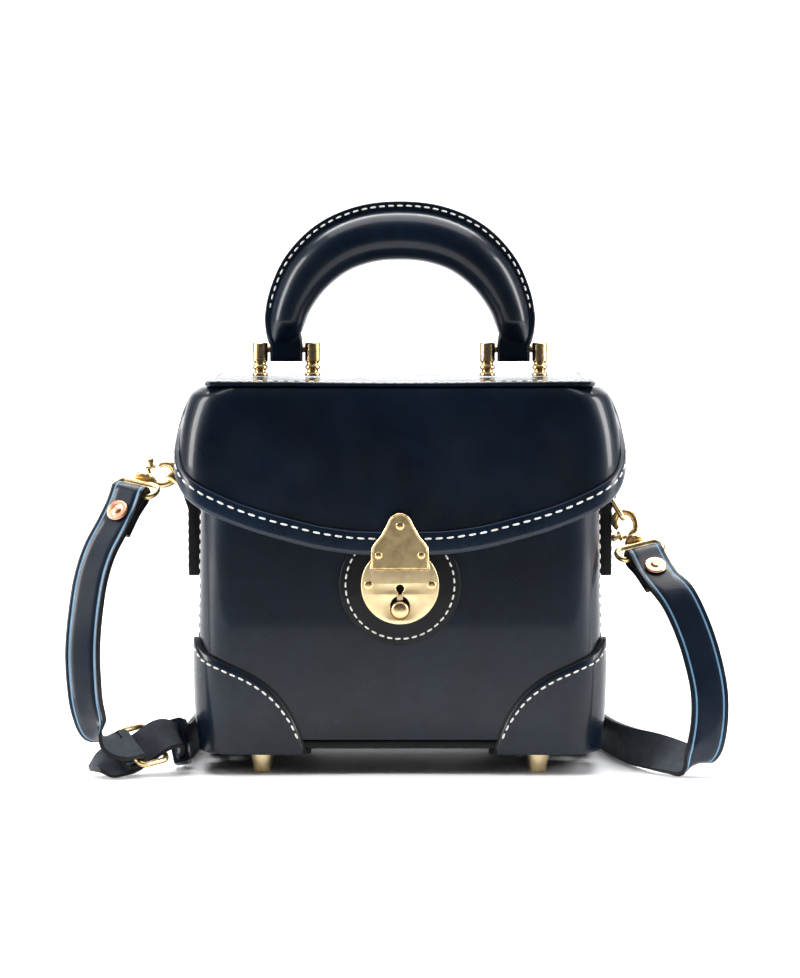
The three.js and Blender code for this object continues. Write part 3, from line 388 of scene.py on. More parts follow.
def leather(name, deep, light, rough=(0.26, 0.4), coat=0.35, grain=0.05, cloud=18.0):
    look = Look(name)
    burnish = look.ramp(look.noise(cloud, 4, 0.6, distort=0.6), 0.0, 1.0, 0.3, 0.72)
    fine = look.ramp(look.noise(220, 3, 0.6), 0.0, 1.0, 0.35, 0.7)
    base = look.mix(burnish, deep, light)
    speck = look.mix(look.maths("MULTIPLY", fine, 0.35), base, tuple(c * 0.55 for c in deep))
    look.colour(speck)
    look.rough(look.ramp(look.noise(55, 4, 0.6), rough[0], rough[1], 0.3, 0.7))
    pores = look.ramp(look.cells(950), 0.0, 1.0, 0.0, 0.35)
    look.bump((look.noise(28, 2), 0.25), (pores, grain * 0.5), (look.noise(1700, 3), grain))
    look.put(Coat_Weight=coat * 0.7, Coat_Roughness=0.06, IOR=1.5, Specular_IOR_Level=0.22)
    return look.material


def metal(name, base, dark, rough=(0.22, 0.36), brushed=None, depth=0.004):
    look = Look(name)
    patina = look.ramp(look.noise(160, 4, 0.6, distort=0.4), 0.0, 1.0, 0.25, 0.6)
    look.colour(look.mix(patina, dark, base))
    look.rough(look.ramp(look.noise(420, 4, 0.65), rough[0], rough[1], 0.3, 0.7))
    look.bump((look.noise(2600, 3, 0.6, stretch=brushed or (1, 1, 1)), depth))
    look.put(Metallic=1.0)
    return look.material


NAVY_DEEP = (0.001, 0.0026, 0.0066)
NAVY_LIGHT = (0.0024, 0.0085, 0.0205)
navy = leather("navy_leather", NAVY_DEEP, NAVY_LIGHT)
strap_leather = leather(
    "strap_leather", (0.002, 0.0045, 0.011), (0.004, 0.011, 0.025), (0.3, 0.44), 0.25, 0.07
)
black = leather(
    "black_leather", (0.0012, 0.0016, 0.0026), (0.0028, 0.0034, 0.005), (0.4, 0.6), 0.1, 0.08
)
edge = leather("edge_paint", (0.001, 0.0013, 0.002), (0.0026, 0.003, 0.004), (0.42, 0.7), 0.05, 0.16)
flesh = leather("strap_back", (0.03, 0.036, 0.048), (0.055, 0.062, 0.075), (0.6, 0.8), 0.0, 0.12)
crease = leather("crease_line", (0.1, 0.21, 0.33), (0.17, 0.33, 0.48), (0.35, 0.5), 0.1, 0.05)
brass = metal("brass", (0.78, 0.58, 0.3), (0.55, 0.38, 0.17))
pale = metal("pale_brass", (0.9, 0.72, 0.42), (0.78, 0.58, 0.3), (0.3, 0.42), (1, 1, 0.08))
antique = metal(
    "antique_brass", (0.5, 0.38, 0.2), (0.3, 0.22, 0.11), (0.3, 0.48), (0.06, 1, 1), 0.01
)
copper = metal("copper", (0.86, 0.42, 0.27), (0.55, 0.2, 0.1), (0.26, 0.4))

thread_look = Look("thread")
thread_look.colour(
    thread_look.mix(
        thread_look.ramp(thread_look.noise(900, 3), 0.0, 1.0), (0.62, 0.6, 0.54), (0.85, 0.84, 0.8)
    )
)
thread_look.rough(thread_look.ramp(thread_look.noise(700, 2), 0.5, 0.7))
thread_look.bump((thread_look.noise(2600, 2, stretch=(1, 0.4, 0.4)), 0.08))
thread = thread_look.material


# Box.
WALL = 2.5
BODY_BOTTOM = 17.6
BODY_TOP = 191.5
BODY_WIDTH = 206
BODY_DEPTH = 109
BODY_CORNER = 18
BODY_SHARES = [0, 0.08, 0.2, 0.5, 0.8, 0.94, 1]
body_wide = glide(BODY_SHARES, [0.968, 0.985, 0.991, 0.983, 0.975, 0.97, 0.96])
body_deep = glide(BODY_SHARES, [0.975, 0.99, 1, 1.006, 1, 0.985, 0.96])
SEAM_Y = 34.5
SEAM_HALF = 0.45
SEAM_DEEP = 0.7


def box_half(z):
    share = (z - BODY_BOTTOM) / (BODY_TOP - BODY_BOTTOM)
    return BODY_WIDTH / 2 * body_wide(share), BODY_DEPTH / 2 * body_deep(share)


def box_plan(z, grow):
    """Half sizes and corner radius of the wall, its straight stretches, its arc and all of a quarter."""
    half_x, half_y = box_half(z)
    half_x, half_y, r = half_x + grow, half_y + grow, BODY_CORNER + grow
    straight_x, straight_y, arc = half_x - r, half_y - r, r * pi / 2
    return half_x, half_y, r, straight_x, straight_y, arc, straight_x + arc + straight_y


def box_point(along, z, grow=0.0):
    """A place on the box's wall and its outward normal.

    Along 0 to 4 runs round from the front's middle.
    """
    half_x, half_y, r, straight_x, straight_y, arc, total = box_plan(z, grow)
    quarter = int(along) % 4
    part = along - int(along)
    if quarter % 2:
        part = 1 - part
    run = part * total
    if run <= straight_x:
        p, n = (run, -half_y), (0, -1)
    elif run <= straight_x + arc:
        a = (run - straight_x) / r
        p = (straight_x + r * sin(a), -straight_y - r * cos(a))
        n = (sin(a), -cos(a))
    else:
        p, n = (half_x, -straight_y + run - straight_x - arc), (1, 0)
    sx = 1 if quarter < 2 else -1
    sy = 1 if quarter in (0, 3) else -1
    return vec(sx * p[0], sy * p[1], z), vec(sx * n[0], sy * n[1], 0)


def box_along(x=None, y=None, z=100, grow=0.0):
    """The share of a quarter at which the wall passes x on the front, or y on the side."""
    _, _, r, straight_x, straight_y, arc, total = box_plan(z, grow)
    if x is not None:
        x = abs(x)
        if x <= straight_x:
            return x / total
        return (straight_x + r * asin(min(1, (x - straight_x) / r))) / total
    if y >= -straight_y:
        return (straight_x + arc + y + straight_y) / total
    return (straight_x + r * acos(min(1, -(y + straight_y) / r))) / total


seam = box_along(y=-SEAM_Y)
seam_step = SEAM_HALF / (BODY_WIDTH / 2 + BODY_DEPTH / 2)
quarter_stops = sorted(
    list(np.linspace(0, seam - 0.02, 40))
    + [seam - seam_step * 1.5, seam - seam_step, seam, seam + seam_step, seam + seam_step * 1.5]
    + list(np.linspace(seam + 0.02, 1, 14)[:-1])
)
round_stops = []
for quarter in range(4):
    stops = quarter_stops if quarter % 2 == 0 else [1 - s for s in quarter_stops[::-1]]
    round_stops += [quarter + s for s in stops if s < 1 or quarter % 2]
round_stops = [
    s for i, s in enumerate(round_stops) if i == 0 or s - round_stops[i - 1] > 1e-6
]


def seam_dip(along):
    part = along - int(along)
    if int(along) % 2:
        part = 1 - part
    return SEAM_DEEP if abs(part - seam) < seam_step * 1.2 else 0.0


def box_wall(bottom, top, grow, levels, round_edge=0.9, groove=False):
    even = np.linspace(bottom + round_edge, top - round_edge, levels)
    zs = np.concatenate([[bottom, bottom + 0.3], even, [top - 0.3, top]])
    outer, inner = [], []
    for z in zs:
        short = max(0, round_edge - min(z - bottom, top - z))
        pull = round_edge - sqrt(max(0, round_edge**2 - short**2)) if short else 0
        level = min(max(z, BODY_BOTTOM), BODY_TOP)
        ring, back = [], []
        for s in round_stops:
            p, n = box_point(s, level, grow)
            dip = seam_dip(s) if groove else 0
            p[2] = z
            ring.append(p - n * (pull + dip))
            back.append(p - n * (WALL - pull * 0.5))
        outer.append(np.array(ring))
        inner.append(np.array(back))
    return loft(outer + inner[::-1], round_along=True)


shell = made("box_body", [box_wall(BODY_BOTTOM, BODY_TOP, 0, 46, groove=True)], [navy])
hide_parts("body_shell")

BASE_BOTTOM, BASE_TOP = 13.3, 17.3


def slab(bottom, top, grow, rounding):
    rings = []
    for z, pull in (
        (bottom, rounding),
        (bottom + rounding * 0.3, rounding * 0.3),
        (bottom + rounding, 0),
        (top - rounding, 0),
        (top - rounding * 0.3, rounding * 0.3),
        (top, rounding),
    ):
        ring = []
        for s in round_stops:
            p, n = box_point(s, BODY_BOTTOM, grow)
            wave = 0.12 * sin(s * 211) + 0.08 * sin(s * 97 + 1)
            p[2] = z
            ring.append(p - n * (pull + wave))
        rings.append(np.array(ring))
    return loft(rings)


welt = made("base_welt", [slab(BASE_BOTTOM, BASE_TOP, -0.3, 0.9)], [edge])
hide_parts("base_panel")

# Seams down the sides, where the front and back panels meet the gussets.
seam_parts = []
for side in (0, 1, 2, 3):
    path, normals = [], []
    for z in np.linspace(BODY_BOTTOM + 3, BODY_TOP - 3, 80):
        part = box_along(y=-SEAM_Y - 3.8, z=z)
        s = side + (part if side % 2 == 0 else 1 - part)
        p, n = box_point(s, z)
        path.append(p)
        normals.append(n)
    seam_parts += stitch_row(path, normals, 5.0, 3.5)
made("side_stitching", seam_parts, [thread], sharp=180)

# Corner patches.
PATCH_THICK = 2.7
PATCH_FIT = 0.3
PATCH_BOTTOM = 10.3
PATCH_UNDER = 5.0
PATCH_SEAM_IN = 3.8
PATCH_EDGE_ROWS = range(21, 24)
PATCH_FRONT_X, PATCH_SIDE_Y = 48.5, 7
patch_front = glide(
    [PATCH_FRONT_X, 51, 57, 65, 76, 90, 100, 106, 118], [8, 20, 33, 43, 51, 57.5, 62, 69, 72]
)
patch_side = glide([PATCH_SIDE_Y, 9, 15, 24, 32, 39, 70], [8, 22, 40, 57, 67, 70, 72])


def patch_top(p):
    x, y = abs(p[0]), abs(p[1])
    if x < PATCH_FRONT_X or y < PATCH_SIDE_Y:
        return 8.0
    return float(min(patch_front(min(x, 118)), patch_side(min(y, 70))))


def patch_wall_point(along, z, grow):
    p, n = box_point(along, max(z, BODY_BOTTOM), grow)
    p[2] = z
    return p, n


def corner_patch(quarter):
    first = box_along(x=PATCH_FRONT_X + 0.7, z=20, grow=3)
    stations = np.linspace(first, box_along(y=-PATCH_SIDE_Y - 0.4, z=20, grow=3), 78)
    if quarter % 2:
        stations = 1 - stations
    outer_grow = PATCH_FIT + PATCH_THICK
    columns, tops = [], []
    for s in stations + quarter:
        p, _ = patch_wall_point(s, 30, outer_grow)
        top = patch_top(p)
        for _ in range(3):
            q, _ = patch_wall_point(s, top, outer_grow)
            top = patch_top(q)
        top = max(top, PATCH_BOTTOM + 4)
        tops.append(top)
        upright, inside = PATCH_BOTTOM + 2.2, PATCH_BOTTOM + PATCH_THICK
        profile = [
            (inside, -PATCH_UNDER), (PATCH_BOTTOM, -PATCH_UNDER), (PATCH_BOTTOM, outer_grow - 2.2),
            (PATCH_BOTTOM + 0.25, outer_grow - 1.1), (PATCH_BOTTOM + 0.9, outer_grow - 0.3),
        ]
        profile += [(z, outer_grow) for z in np.linspace(upright, top - 0.7, 16)]
        profile += [(top - 0.2, outer_grow - 0.25), (top, outer_grow - 0.8), (top, PATCH_FIT)]
        profile += [(z, PATCH_FIT) for z in np.linspace(top - 0.8, inside, 6)]
        columns.append(np.array([patch_wall_point(s, z, grow)[0] for z, grow in profile]))
    parts = [loft(columns, slot_of=lambda i, j: 1 if j in PATCH_EDGE_ROWS or i < 0 else 0)]
    line, normals = [], []
    for s, top in zip(stations + quarter, tops):
        p, n = patch_wall_point(s, max(top - PATCH_SEAM_IN, PATCH_BOTTOM + 3), outer_grow)
        line.append(p)
        normals.append(n)
    return parts, line, normals, tops


quarter_names = ("front_right", "back_right", "back_left", "front_left")
patch_stitches = []
for quarter, name in enumerate(quarter_names):
    parts, line, normals, tops = corner_patch(quarter)
    patch = made(f"patch_{name}", parts, [navy, edge])
    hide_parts(f"corner_patch_{name}")
    line, normals = np.array(line), np.array(normals)
    inside = np.array(tops) > PATCH_BOTTOM + 9
    patch_stitches += stitch_row(line[inside], normals[inside], 4.6, 3.3)
made("patch_stitching", patch_stitches, [thread], sharp=180)

# Lid.
LID_REACH = 112
LID_CORNER = 19
LID_BACK = 213
LID_TOP_Z, LID_INNER_Z = 195.4, 193.0
BINDING_FIT = 0.3
down_rows = [-195.4, -191.5, -186, -180, -170, -157, -113]
lid_wide = glide(down_rows, [100.5, 105.4, 107.6, 109.2, 111, 112, 112])
lid_front = glide(down_rows, [-55.0, -56.6, -57.6, -58.4, -59.1, -59.6, -60.4])
edge_rows = {
    0: 113, 20: 113.5, 37: 115.5, 58: 120.5, 75: 125.5, 88: 130.5, 100: 136.5,
    110: 143, 121: 154, 135: 165, 150: 173, 170: 178, 213: 181,
}
edge_at = glide(list(edge_rows), list(edge_rows.values()))


def lid_plan(along, half, front):
    side = copysign(1, along)
    straight = half - LID_CORNER
    run = abs(along) * half / LID_REACH
    arc = LID_CORNER * pi / 2
    if run <= straight:
        return vec(side * run, front), vec(0, -1)
    if run <= straight + arc:
        a = (run - straight) / LID_CORNER
        return (
            vec(
                side * (straight + LID_CORNER * sin(a)),
                front + LID_CORNER * (1 - cos(a)),
            ),
            vec(side * sin(a), -cos(a)),
        )
    return vec(side * half, front + LID_CORNER + run - straight - arc), vec(side, 0)


def lid_point(along, z, out=0.0):
    p, n = lid_plan(along, float(lid_wide(-z)), float(lid_front(-z)))
    return vec(p[0] + n[0] * out, p[1] + n[1] * out, z)


def lid_normal(along, z):
    a = lid_point(along + 0.5, z) - lid_point(along - 0.5, z)
    b = lid_point(along, min(z + 0.5, LID_TOP_Z - 0.1)) - lid_point(along, z - 0.5)
    return unit(np.cross(a, b))


lid_stations = np.linspace(-LID_BACK, LID_BACK, 170)
lid_columns = []
for along in lid_stations:
    foot = float(edge_at(abs(along)))
    outer, inner = [], []
    for half, front, z in ((87.5, -44, 196.2), (93, -51, 196.2), (97.2, -53.7, 196.0)):
        p, _ = lid_plan(along, half, front)
        outer.append(vec(p[0], p[1], z))
        inner.append(vec(p[0] * 0.995, p[1] + 0.4, z - WALL))
    for t in np.linspace(0, 1, 30) ** 1.25:
        outer.append(lid_point(along, LID_TOP_Z + (foot - LID_TOP_Z) * t))
    for t in np.linspace(0, 1, 10) ** 1.1:
        inner.append(lid_point(along, LID_INNER_Z + (foot - LID_INNER_Z) * t, -WALL))
    lid_columns.append(np.array(outer + inner[::-1]))
lid = made("lid_shell", [loft(lid_columns)], [navy])
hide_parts("lid_front")

STRIP_WIDE = 11
STRIP_THICK = 2
SEAM_IN = 3.6
strip_profile = fillet(
    [
        (STRIP_WIDE, 0.0), (STRIP_WIDE - 0.3, STRIP_THICK * 0.95), (STRIP_WIDE / 2, STRIP_THICK),
        (0.6, STRIP_THICK), (-1.0, STRIP_THICK * 0.45), (-1.0, 0.0),
    ],
    1.2,
    3,
)
strip_stations = np.linspace(-LID_BACK + 8, LID_BACK - 8, 210)
strip_columns, strip_line, strip_normals = [], [], []
for along in strip_stations:
    foot = float(edge_at(abs(along)))
    column = [lid_point(along, foot + up, BINDING_FIT + out) for up, out in strip_profile]
    column += [lid_point(along, foot + up, BINDING_FIT) for up in (2.0, 5.0, 8.0)]
    strip_columns.append(np.array(column))
    seam_z = foot + STRIP_WIDE - SEAM_IN
    strip_line.append(lid_point(along, seam_z, BINDING_FIT + STRIP_THICK))
    strip_normals.append(lid_normal(along, seam_z))
strip_leather = leather(
    "strip_leather", (0.0022, 0.006, 0.014), (0.005, 0.015, 0.034), (0.24, 0.36), 0.4, 0.05
)
strip = made("lid_binding", [loft(strip_columns)], [strip_leather])
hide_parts("lid_edge_strip")
strip_rows = stitch_row(strip_line, strip_normals, 5.6, 4.0, 1.0)
made("lid_stitching", strip_rows, [thread], sharp=180)

# Top panel of the lid.
TOP_Z = 199
TOP_WIDTH = 195.4
SKIRT_OUT = 2.2
top_columns = []


def top_dip(x):
    return 0.8 * cos(x / TOP_WIDTH * pi) ** 2


def skirt_hem(x):
    past = max(0.0, abs(x) - TOP_WIDTH / 2 + 18) / 18
    return TOP_Z - 4 - 14 * sqrt(max(0.0, 1 - past**2))


def top_front(x):
    return -BODY_DEPTH / 2 - 0.8 * cos(x / TOP_WIDTH * pi)


top_run = np.linspace(-TOP_WIDTH / 2 + 0.7, TOP_WIDTH / 2 - 0.7, 60)
for x in np.concatenate([[-TOP_WIDTH / 2], top_run, [TOP_WIDTH / 2]]):
    end = abs(x) > TOP_WIDTH / 2 - 0.1
    inset = 3.0 if end else (1.6 if abs(x) > TOP_WIDTH / 2 - 1 else 0)
    top = TOP_Z - top_dip(x) - (0.7 if end else 0)
    low = TOP_Z - WALL + 0.08
    front = top_front(x) + inset
    back = BODY_DEPTH / 2
    hem = skirt_hem(x)
    shoulder = [(back - 0.5, top), (back + SKIRT_OUT, top - 2.7), (back + SKIRT_OUT, hem)]
    outline = [tuple(p) for p in fillet([(front, low + 0.6), (front, top)] + shoulder, 1.6, 4)]
    inside = [
        (back + 1.6, hem - 0.4), (back + 0.3, hem), (back + 0.3, low - 1.5), (back - 1.2, low),
    ]
    outline = [(front + 0.6, low)] + outline + inside
    top_columns.append(np.array([vec(x, y, z) for y, z in outline]))
top_panel = made("lid_top_panel", [loft(top_columns)], [navy])
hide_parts("lid_top")
up = vec(0, 0, 1)
top_seams = [
    ([vec(x, top_front(x) + SEAM_IN, TOP_Z - top_dip(x)) for x in np.linspace(-93, 93, 60)], up)
]
for side in (-1, 1):
    seam_x = side * (TOP_WIDTH / 2 - 3.4)
    top_seams.append(([vec(seam_x, y, TOP_Z - 0.02) for y in np.linspace(-46, 50, 40)], up))
hem_xs = np.linspace(-TOP_WIDTH / 2 + 4, TOP_WIDTH / 2 - 4, 70)
hem_line = [vec(x, BODY_DEPTH / 2 + SKIRT_OUT, skirt_hem(x) + SEAM_IN) for x in hem_xs]
top_seams.append((hem_line, vec(0, 1, 0)))
top_rows = []
for line, normal in top_seams:
    top_rows += stitch_row(line, [normal] * len(line), 5.2, 3.6)
made("top_stitching", top_rows, [thread], sharp=180)

# Lock.
LOCK_Z = 97
LOCK_PATCH_Y = -57.1
LOCK_PATCH_RADIUS = 30.5
LOCK_SEAM_RADIUS = 27.3
LOCK_Y = -62.0
LOCK_RADIUS = 19.5
LOCK_THICK = 4.6
LOCK_CHORD = 12.5
KNOB_Z = 84.8
KNOB_TRAVEL = 2
KNOB_OUT = 2.6
SLOT_RADIUS = 4.9
KEYHOLE_Z = 95.4
KEYHOLE_RADIUS = 2.1
KEYHOLE_STEM = 0.95
KEYHOLE_FOOT = 90.3
disc_loop = arc_loop(LOCK_PATCH_RADIUS, LOCK_Z, 0, 2 * pi, 97)[:-1]
disc_part = plate([disc_loop], LOCK_PATCH_Y, 2.0, 0.6)
lock_leather = made("lock_leather", [disc_part], [black])
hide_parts("lock_patch")

lock_seam = arc_loop(LOCK_SEAM_RADIUS, LOCK_Z, 0, 2 * pi, 120)
lock_rows = stitch_row(
    [vec(x, LOCK_PATCH_Y, z) for x, z in lock_seam], [vec(0, -1, 0)] * 120, 4.2, 3.1, 0.9, closed=True
)
made("lock_stitching", lock_rows, [thread], sharp=180)

chord = asin(LOCK_CHORD / LOCK_RADIUS)
plate_loop = arc_loop(LOCK_RADIUS, LOCK_Z, pi - chord, 2 * pi + chord, 90)
slot_loop = arc_loop(SLOT_RADIUS, KNOB_Z, -pi, 0, 24)
slot_loop += arc_loop(SLOT_RADIUS, KNOB_Z + KNOB_TRAVEL, 0, pi, 24)
stem = asin(KEYHOLE_STEM / KEYHOLE_RADIUS)
key_loop = arc_loop(KEYHOLE_RADIUS, KEYHOLE_Z, -pi / 2 + stem, 1.5 * pi - stem, 30)
key_loop += [(-KEYHOLE_STEM, KEYHOLE_FOOT), (KEYHOLE_STEM, KEYHOLE_FOOT)]
lock_part = plate([plate_loop, slot_loop, key_loop], LOCK_Y, LOCK_THICK, 0.5)
lock_plate = made("lock_face", [lock_part], [pale], sharp=30)
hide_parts("lock_plate")

knob_profile = [
    (0, 0), (1.1, 0.05), (2.5, 0.25), (3.9, 0.9), (4.4, 1.8), (4.5, 2.6), (4.5, 7.2), (0, 7.2),
]
knob_part = lathe(knob_profile, vec(0, LOCK_Y - KNOB_OUT, KNOB_Z), (0, 1, 0), 40, 0.5)
knob = made("knob", [knob_part], [brass], body="knob")
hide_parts("release_knob")

hasp_rows = [
    (15.2, 105), (14.6, 107.5), (14.2, 116), (12.8, 118.3), (9.6, 122.2),
    (6.8, 127.2), (5.2, 130.6), (3.4, 132.6), (1.2, 133.6),
]
HASP_Y = -64.2
hasp_loop = [vec(x, z) for x, z in hasp_rows] + [vec(-x, z) for x, z in hasp_rows[::-1]]
hasp_loop = fillet(hasp_loop, 1.0, 3, closed=True)


def hasp_ring(inset, y):
    count = len(hasp_loop)
    ring = []
    for i in range(count):
        t = unit(hasp_loop[(i + 1) % count] - hasp_loop[i - 1])
        p = hasp_loop[i] + vec(-t[1], t[0]) * inset
        ring.append(vec(p[0], y, p[1]))
    return np.array(ring)


hasp_rings = [
    hasp_ring(inset, HASP_Y + back)
    for inset, back in (
        (0.1, 1.2), (0, 0.9), (0, 0.25), (0.25, 0), (0.75, 0), (1.0, 0.15), (1.15, 0.4),
    )
]
hasp_part = loft(hasp_rings, slot_of=lambda i, j: 1 if i < 0 else 0)
hasp = made("hasp", [hasp_part], [brass, antique], sharp=30)
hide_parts("hasp_plate")


def dome(radius, tall):
    shares = ((0, 0), (1, 0), (1, 0.15), (0.9, 0.55), (0.55, 0.9), (0, 1))
    return [(radius * out, tall * high) for out, high in shares]


for name, x, z, r, y in (
    ("hasp_rivet_top", 0, 127.2, 2.2, HASP_Y + 0.4),
    ("hasp_rivet_left", -10.7, 112.4, 2.0, HASP_Y + 0.4),
    ("hasp_rivet_right", 10.7, 112.4, 2.0, HASP_Y + 0.4),
    ("plate_rivet_left", -15.8, 97.3, 2.3, LOCK_Y),
    ("plate_rivet_right", 15.8, 97.3, 2.3, LOCK_Y),
):
    rivet_part = lathe(dome(r, 1), vec(x, y + 0.05, z), (0, -1, 0), 24, 0.3)
    rivet = made(name + "_dome", [rivet_part], [brass])
    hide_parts(name)

# Feet.
FOOT_X, FOOT_Y = 70, 41
foot_profile = [
    (0, 0), (3.6, 0), (4.25, 0.5), (4.6, 3.0), (5.4, 6.4), (5.9, 8.6), (6, 8.9), (6, 9.9), (0, 9.9),
]
for fy, hand_y in ((-FOOT_Y, "front"), (FOOT_Y, "back")):
    for fx, hand_x in ((-FOOT_X, "left"), (FOOT_X, "right")):
        foot_part = lathe(foot_profile, vec(fx, fy, 0.0), (0, 0, 1), 36, 0.35)
        foot = made(f"foot_stud_{hand_y}_{hand_x}", [foot_part], [pale])
        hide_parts(f"foot_{hand_y}_{hand_x}")

# Handle.
TAB_X = 58.5
ROLL_THICK = 24
# One row a station: across, height, width, thickness as a share, how far it is rolled.
handle_rows = [
    (TAB_X, 206.8, 17, 0.34, 0), (TAB_X, 210, 17, 0.38, 0), (TAB_X, 216, 17, 0.4, 0.1),
    (59.6, 221, 18.6, 0.6, 0.6), (59.2, 228, 21.2, 0.84, 0.9), (56.2, 238.6, 23.7, 0.92, 1),
    (48.1, 252.8, 27.1, 0.97, 1), (34.5, 265.2, 29.2, 1, 1), (18, 272, 30.1, 1, 1),
    (0, 273.9, 30.3, 1, 1),
]
handle_rows += [(-r[0], *r[1:]) for r in handle_rows[:-1][::-1]]
handle_curve = Curve([(r[0], 0, r[1]) for r in handle_rows])
handle_place = np.linspace(0, 1, len(handle_rows))
handle_wide, handle_thick, handle_roll = (
    glide(handle_place, [r[k] for r in handle_rows]) for k in (2, 3, 4)
)
FLANGE = 1.8


def edge_round(distance, reach):
    """0 at an edge and 1 from reach on, along a quarter circle."""
    return sqrt(max(0.0, 1 - max(0.0, 1 - distance / reach) ** 2))


def handle_half(inwards, wide, half, roll):
    """Half of the section's thickness at a distance from its outer edge."""
    centre, reach = 0.58 * wide, 0.42 * wide
    ball = half * sqrt(max(0.0, 1 - ((inwards - centre) / reach) ** 2))
    flange = FLANGE * edge_round(inwards, 0.5) if inwards < centre else 0.0
    slim = half * edge_round(inwards, 1.4) * edge_round(wide - inwards, 1.4)
    full = max(ball, flange) + 0.25 * exp(-abs(ball - flange) / 0.6) * (flange > 0)
    return slim * (1 - roll) + full * roll


drop_shares = np.concatenate(
    [[0, 0.004, 0.012, 0.03, 0.08, 0.13], np.linspace(0.165, 0.9, 26), [0.93, 0.96, 0.98, 0.993, 1.0]]
)
handle_rings, flange_line = [], {-1: [], 1: []}
handle_shares = [np.linspace(0, 0.2, 30), np.linspace(0.2, 0.8, 110)[1:-1], np.linspace(0.8, 1, 30)]
for share in np.concatenate(handle_shares):
    place = handle_curve.at(share)
    ahead = handle_curve.at(min(1, share + 0.004)) - handle_curve.at(max(0, share - 0.004))
    out = unit(vec(ahead[2], 0, -ahead[0]))
    wide, roll = float(handle_wide(share)), float(handle_roll(share))
    half = float(handle_thick(share)) * ROLL_THICK / 2
    front, back = [], []
    for d in drop_shares:
        h = handle_half(d * wide, wide, half, roll)
        base = place + out * wide * (0.5 - d)
        front.append(base + vec(0, -h, 0))
        if 0 < d < 1:
            back.append(base + vec(0, h, 0))
    handle_rings.append(np.array(front + back[::-1]))
    if roll > 0.75:
        for side in (-1, 1):
            flange_line[side].append(place + out * (wide * 0.5 - 2.4) + vec(0, side * FLANGE, 0))
handle = made("handle_roll", [loft(handle_rings)], [navy], body="handle")
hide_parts("handle_grip")
handle_parts = []
for side, line in flange_line.items():
    handle_parts += stitch_row(line, [vec(0, side, 0)] * len(line), 4.6, 3.3, 0.95)
made("handle_stitching", handle_parts, [thread], sharp=180, body="handle")

# Handle posts and pins.
POST_BASE = 199.3
POST_APART = 27
PIN_Z, PIN_LONG, PIN_RADIUS = 213, 23, 1.8
post_profile = [
    (0, 0), (4, 0), (4, 1.4), (2.88, 2.1), (2.88, 3.2), (4, 3.8), (4, 5.2), (3.12, 5.8),
    (3.12, 6.9), (4, 7.6), (4, 16.7), (3.5, 17.2), (0, 17.2),
]
pin_profile = [(0, 0), (PIN_RADIUS, 0), (PIN_RADIUS, PIN_LONG), (0, PIN_LONG)]
for side, hand in ((-1, "left"), (1, "right")):
    for name, x in (("outer", TAB_X + POST_APART / 2), ("inner", TAB_X - POST_APART / 2)):
        post_part = lathe(post_profile, vec(side * x, 0, POST_BASE), (0, 0, 1), 40, 0.35)
        post = made(f"post_{name}_{hand}", [post_part], [brass])
        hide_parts(f"handle_post_{name}_{hand}")
    pin_start = vec(side * TAB_X - PIN_LONG / 2, 0, PIN_Z)
    pin = made(f"pin_{hand}", [lathe(pin_profile, pin_start, (1, 0, 0), 20, 0.2)], [brass])
    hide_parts(f"handle_pin_{hand}")

# Side tabs: a strip folded up round the ring's bar.
PIVOT_X, PIVOT_Z = 106.7, 139.5
TAB_IN, TAB_OUT = PIVOT_X - 5, PIVOT_X + 2.4
TAB_LONG, TAB_WIDE = 43, 14
LOOP_RADIUS, LOOP_HOLE = 5.2, 2.3


def side_tab(side):
    low = PIVOT_Z - TAB_LONG
    outline = [(TAB_IN, low), (TAB_OUT, low), (TAB_OUT, PIVOT_Z - 9)]
    outline += arc_loop(LOOP_RADIUS, PIVOT_Z, -0.35, pi, 22, PIVOT_X)
    outline = fillet(outline, 0.8, 3, closed=True)
    outline = [(side * x, z) for x, z in outline]
    hole = [(side * x, z) for x, z in arc_loop(LOOP_HOLE, PIVOT_Z, 0, 2 * pi, 24, PIVOT_X)[:-1]]
    parts = [plate([outline, hole], -TAB_WIDE / 2, TAB_WIDE, 0.7)]
    rows = []
    for y in (-4.6, 4.6):
        line = [vec(side * TAB_OUT, y, z) for z in np.linspace(low + 3.5, PIVOT_Z - 10, 20)]
        rows += stitch_row(line, [vec(side, 0, 0)] * 20, 4.4, 3.2, 0.9)
    return parts, rows


tab_rows = []
for side, hand in ((-1, "left"), (1, "right")):
    parts, rows = side_tab(side)
    tab = made(f"ring_tab_{hand}", parts, [black])
    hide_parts(f"side_tab_{hand}")
    tab_rows += rows
made("tab_stitching", tab_rows, [thread], sharp=180)


# Strap hardware.
def hang_frame(down, across):
    z = -unit(np.array(down, float))
    x = unit(across - across.dot(z) * z)
    return np.stack([x, np.cross(z, x), z], 1)


def wire_loop(wide, long, wire, corner, at, turn, sides=16):
    half, reach = wide / 2 - wire / 2, long - wire
    path = []
    for x, z, start in (
        (half - corner, -corner, pi / 2),
        (half - corner, -(reach - corner), 0),
        (-(half - corner), -(reach - corner), -pi / 2),
        (-(half - corner), -corner, -pi),
    ):
        for i in range(9):
            a = start - i / 8 * pi / 2
            path.append(at + turn @ vec(x + corner * cos(a), 0, z + corner * sin(a)))
    dense = []
    for a, b in zip(path, path[1:] + path[:1]):
        shares = (0, 0.25, 0.5, 0.75) if np.linalg.norm(b - a) > 3 else (0,)
        dense += [a + (b - a) * t for t in shares]
    return tube(dense, wire / 2, sides, closed=True)


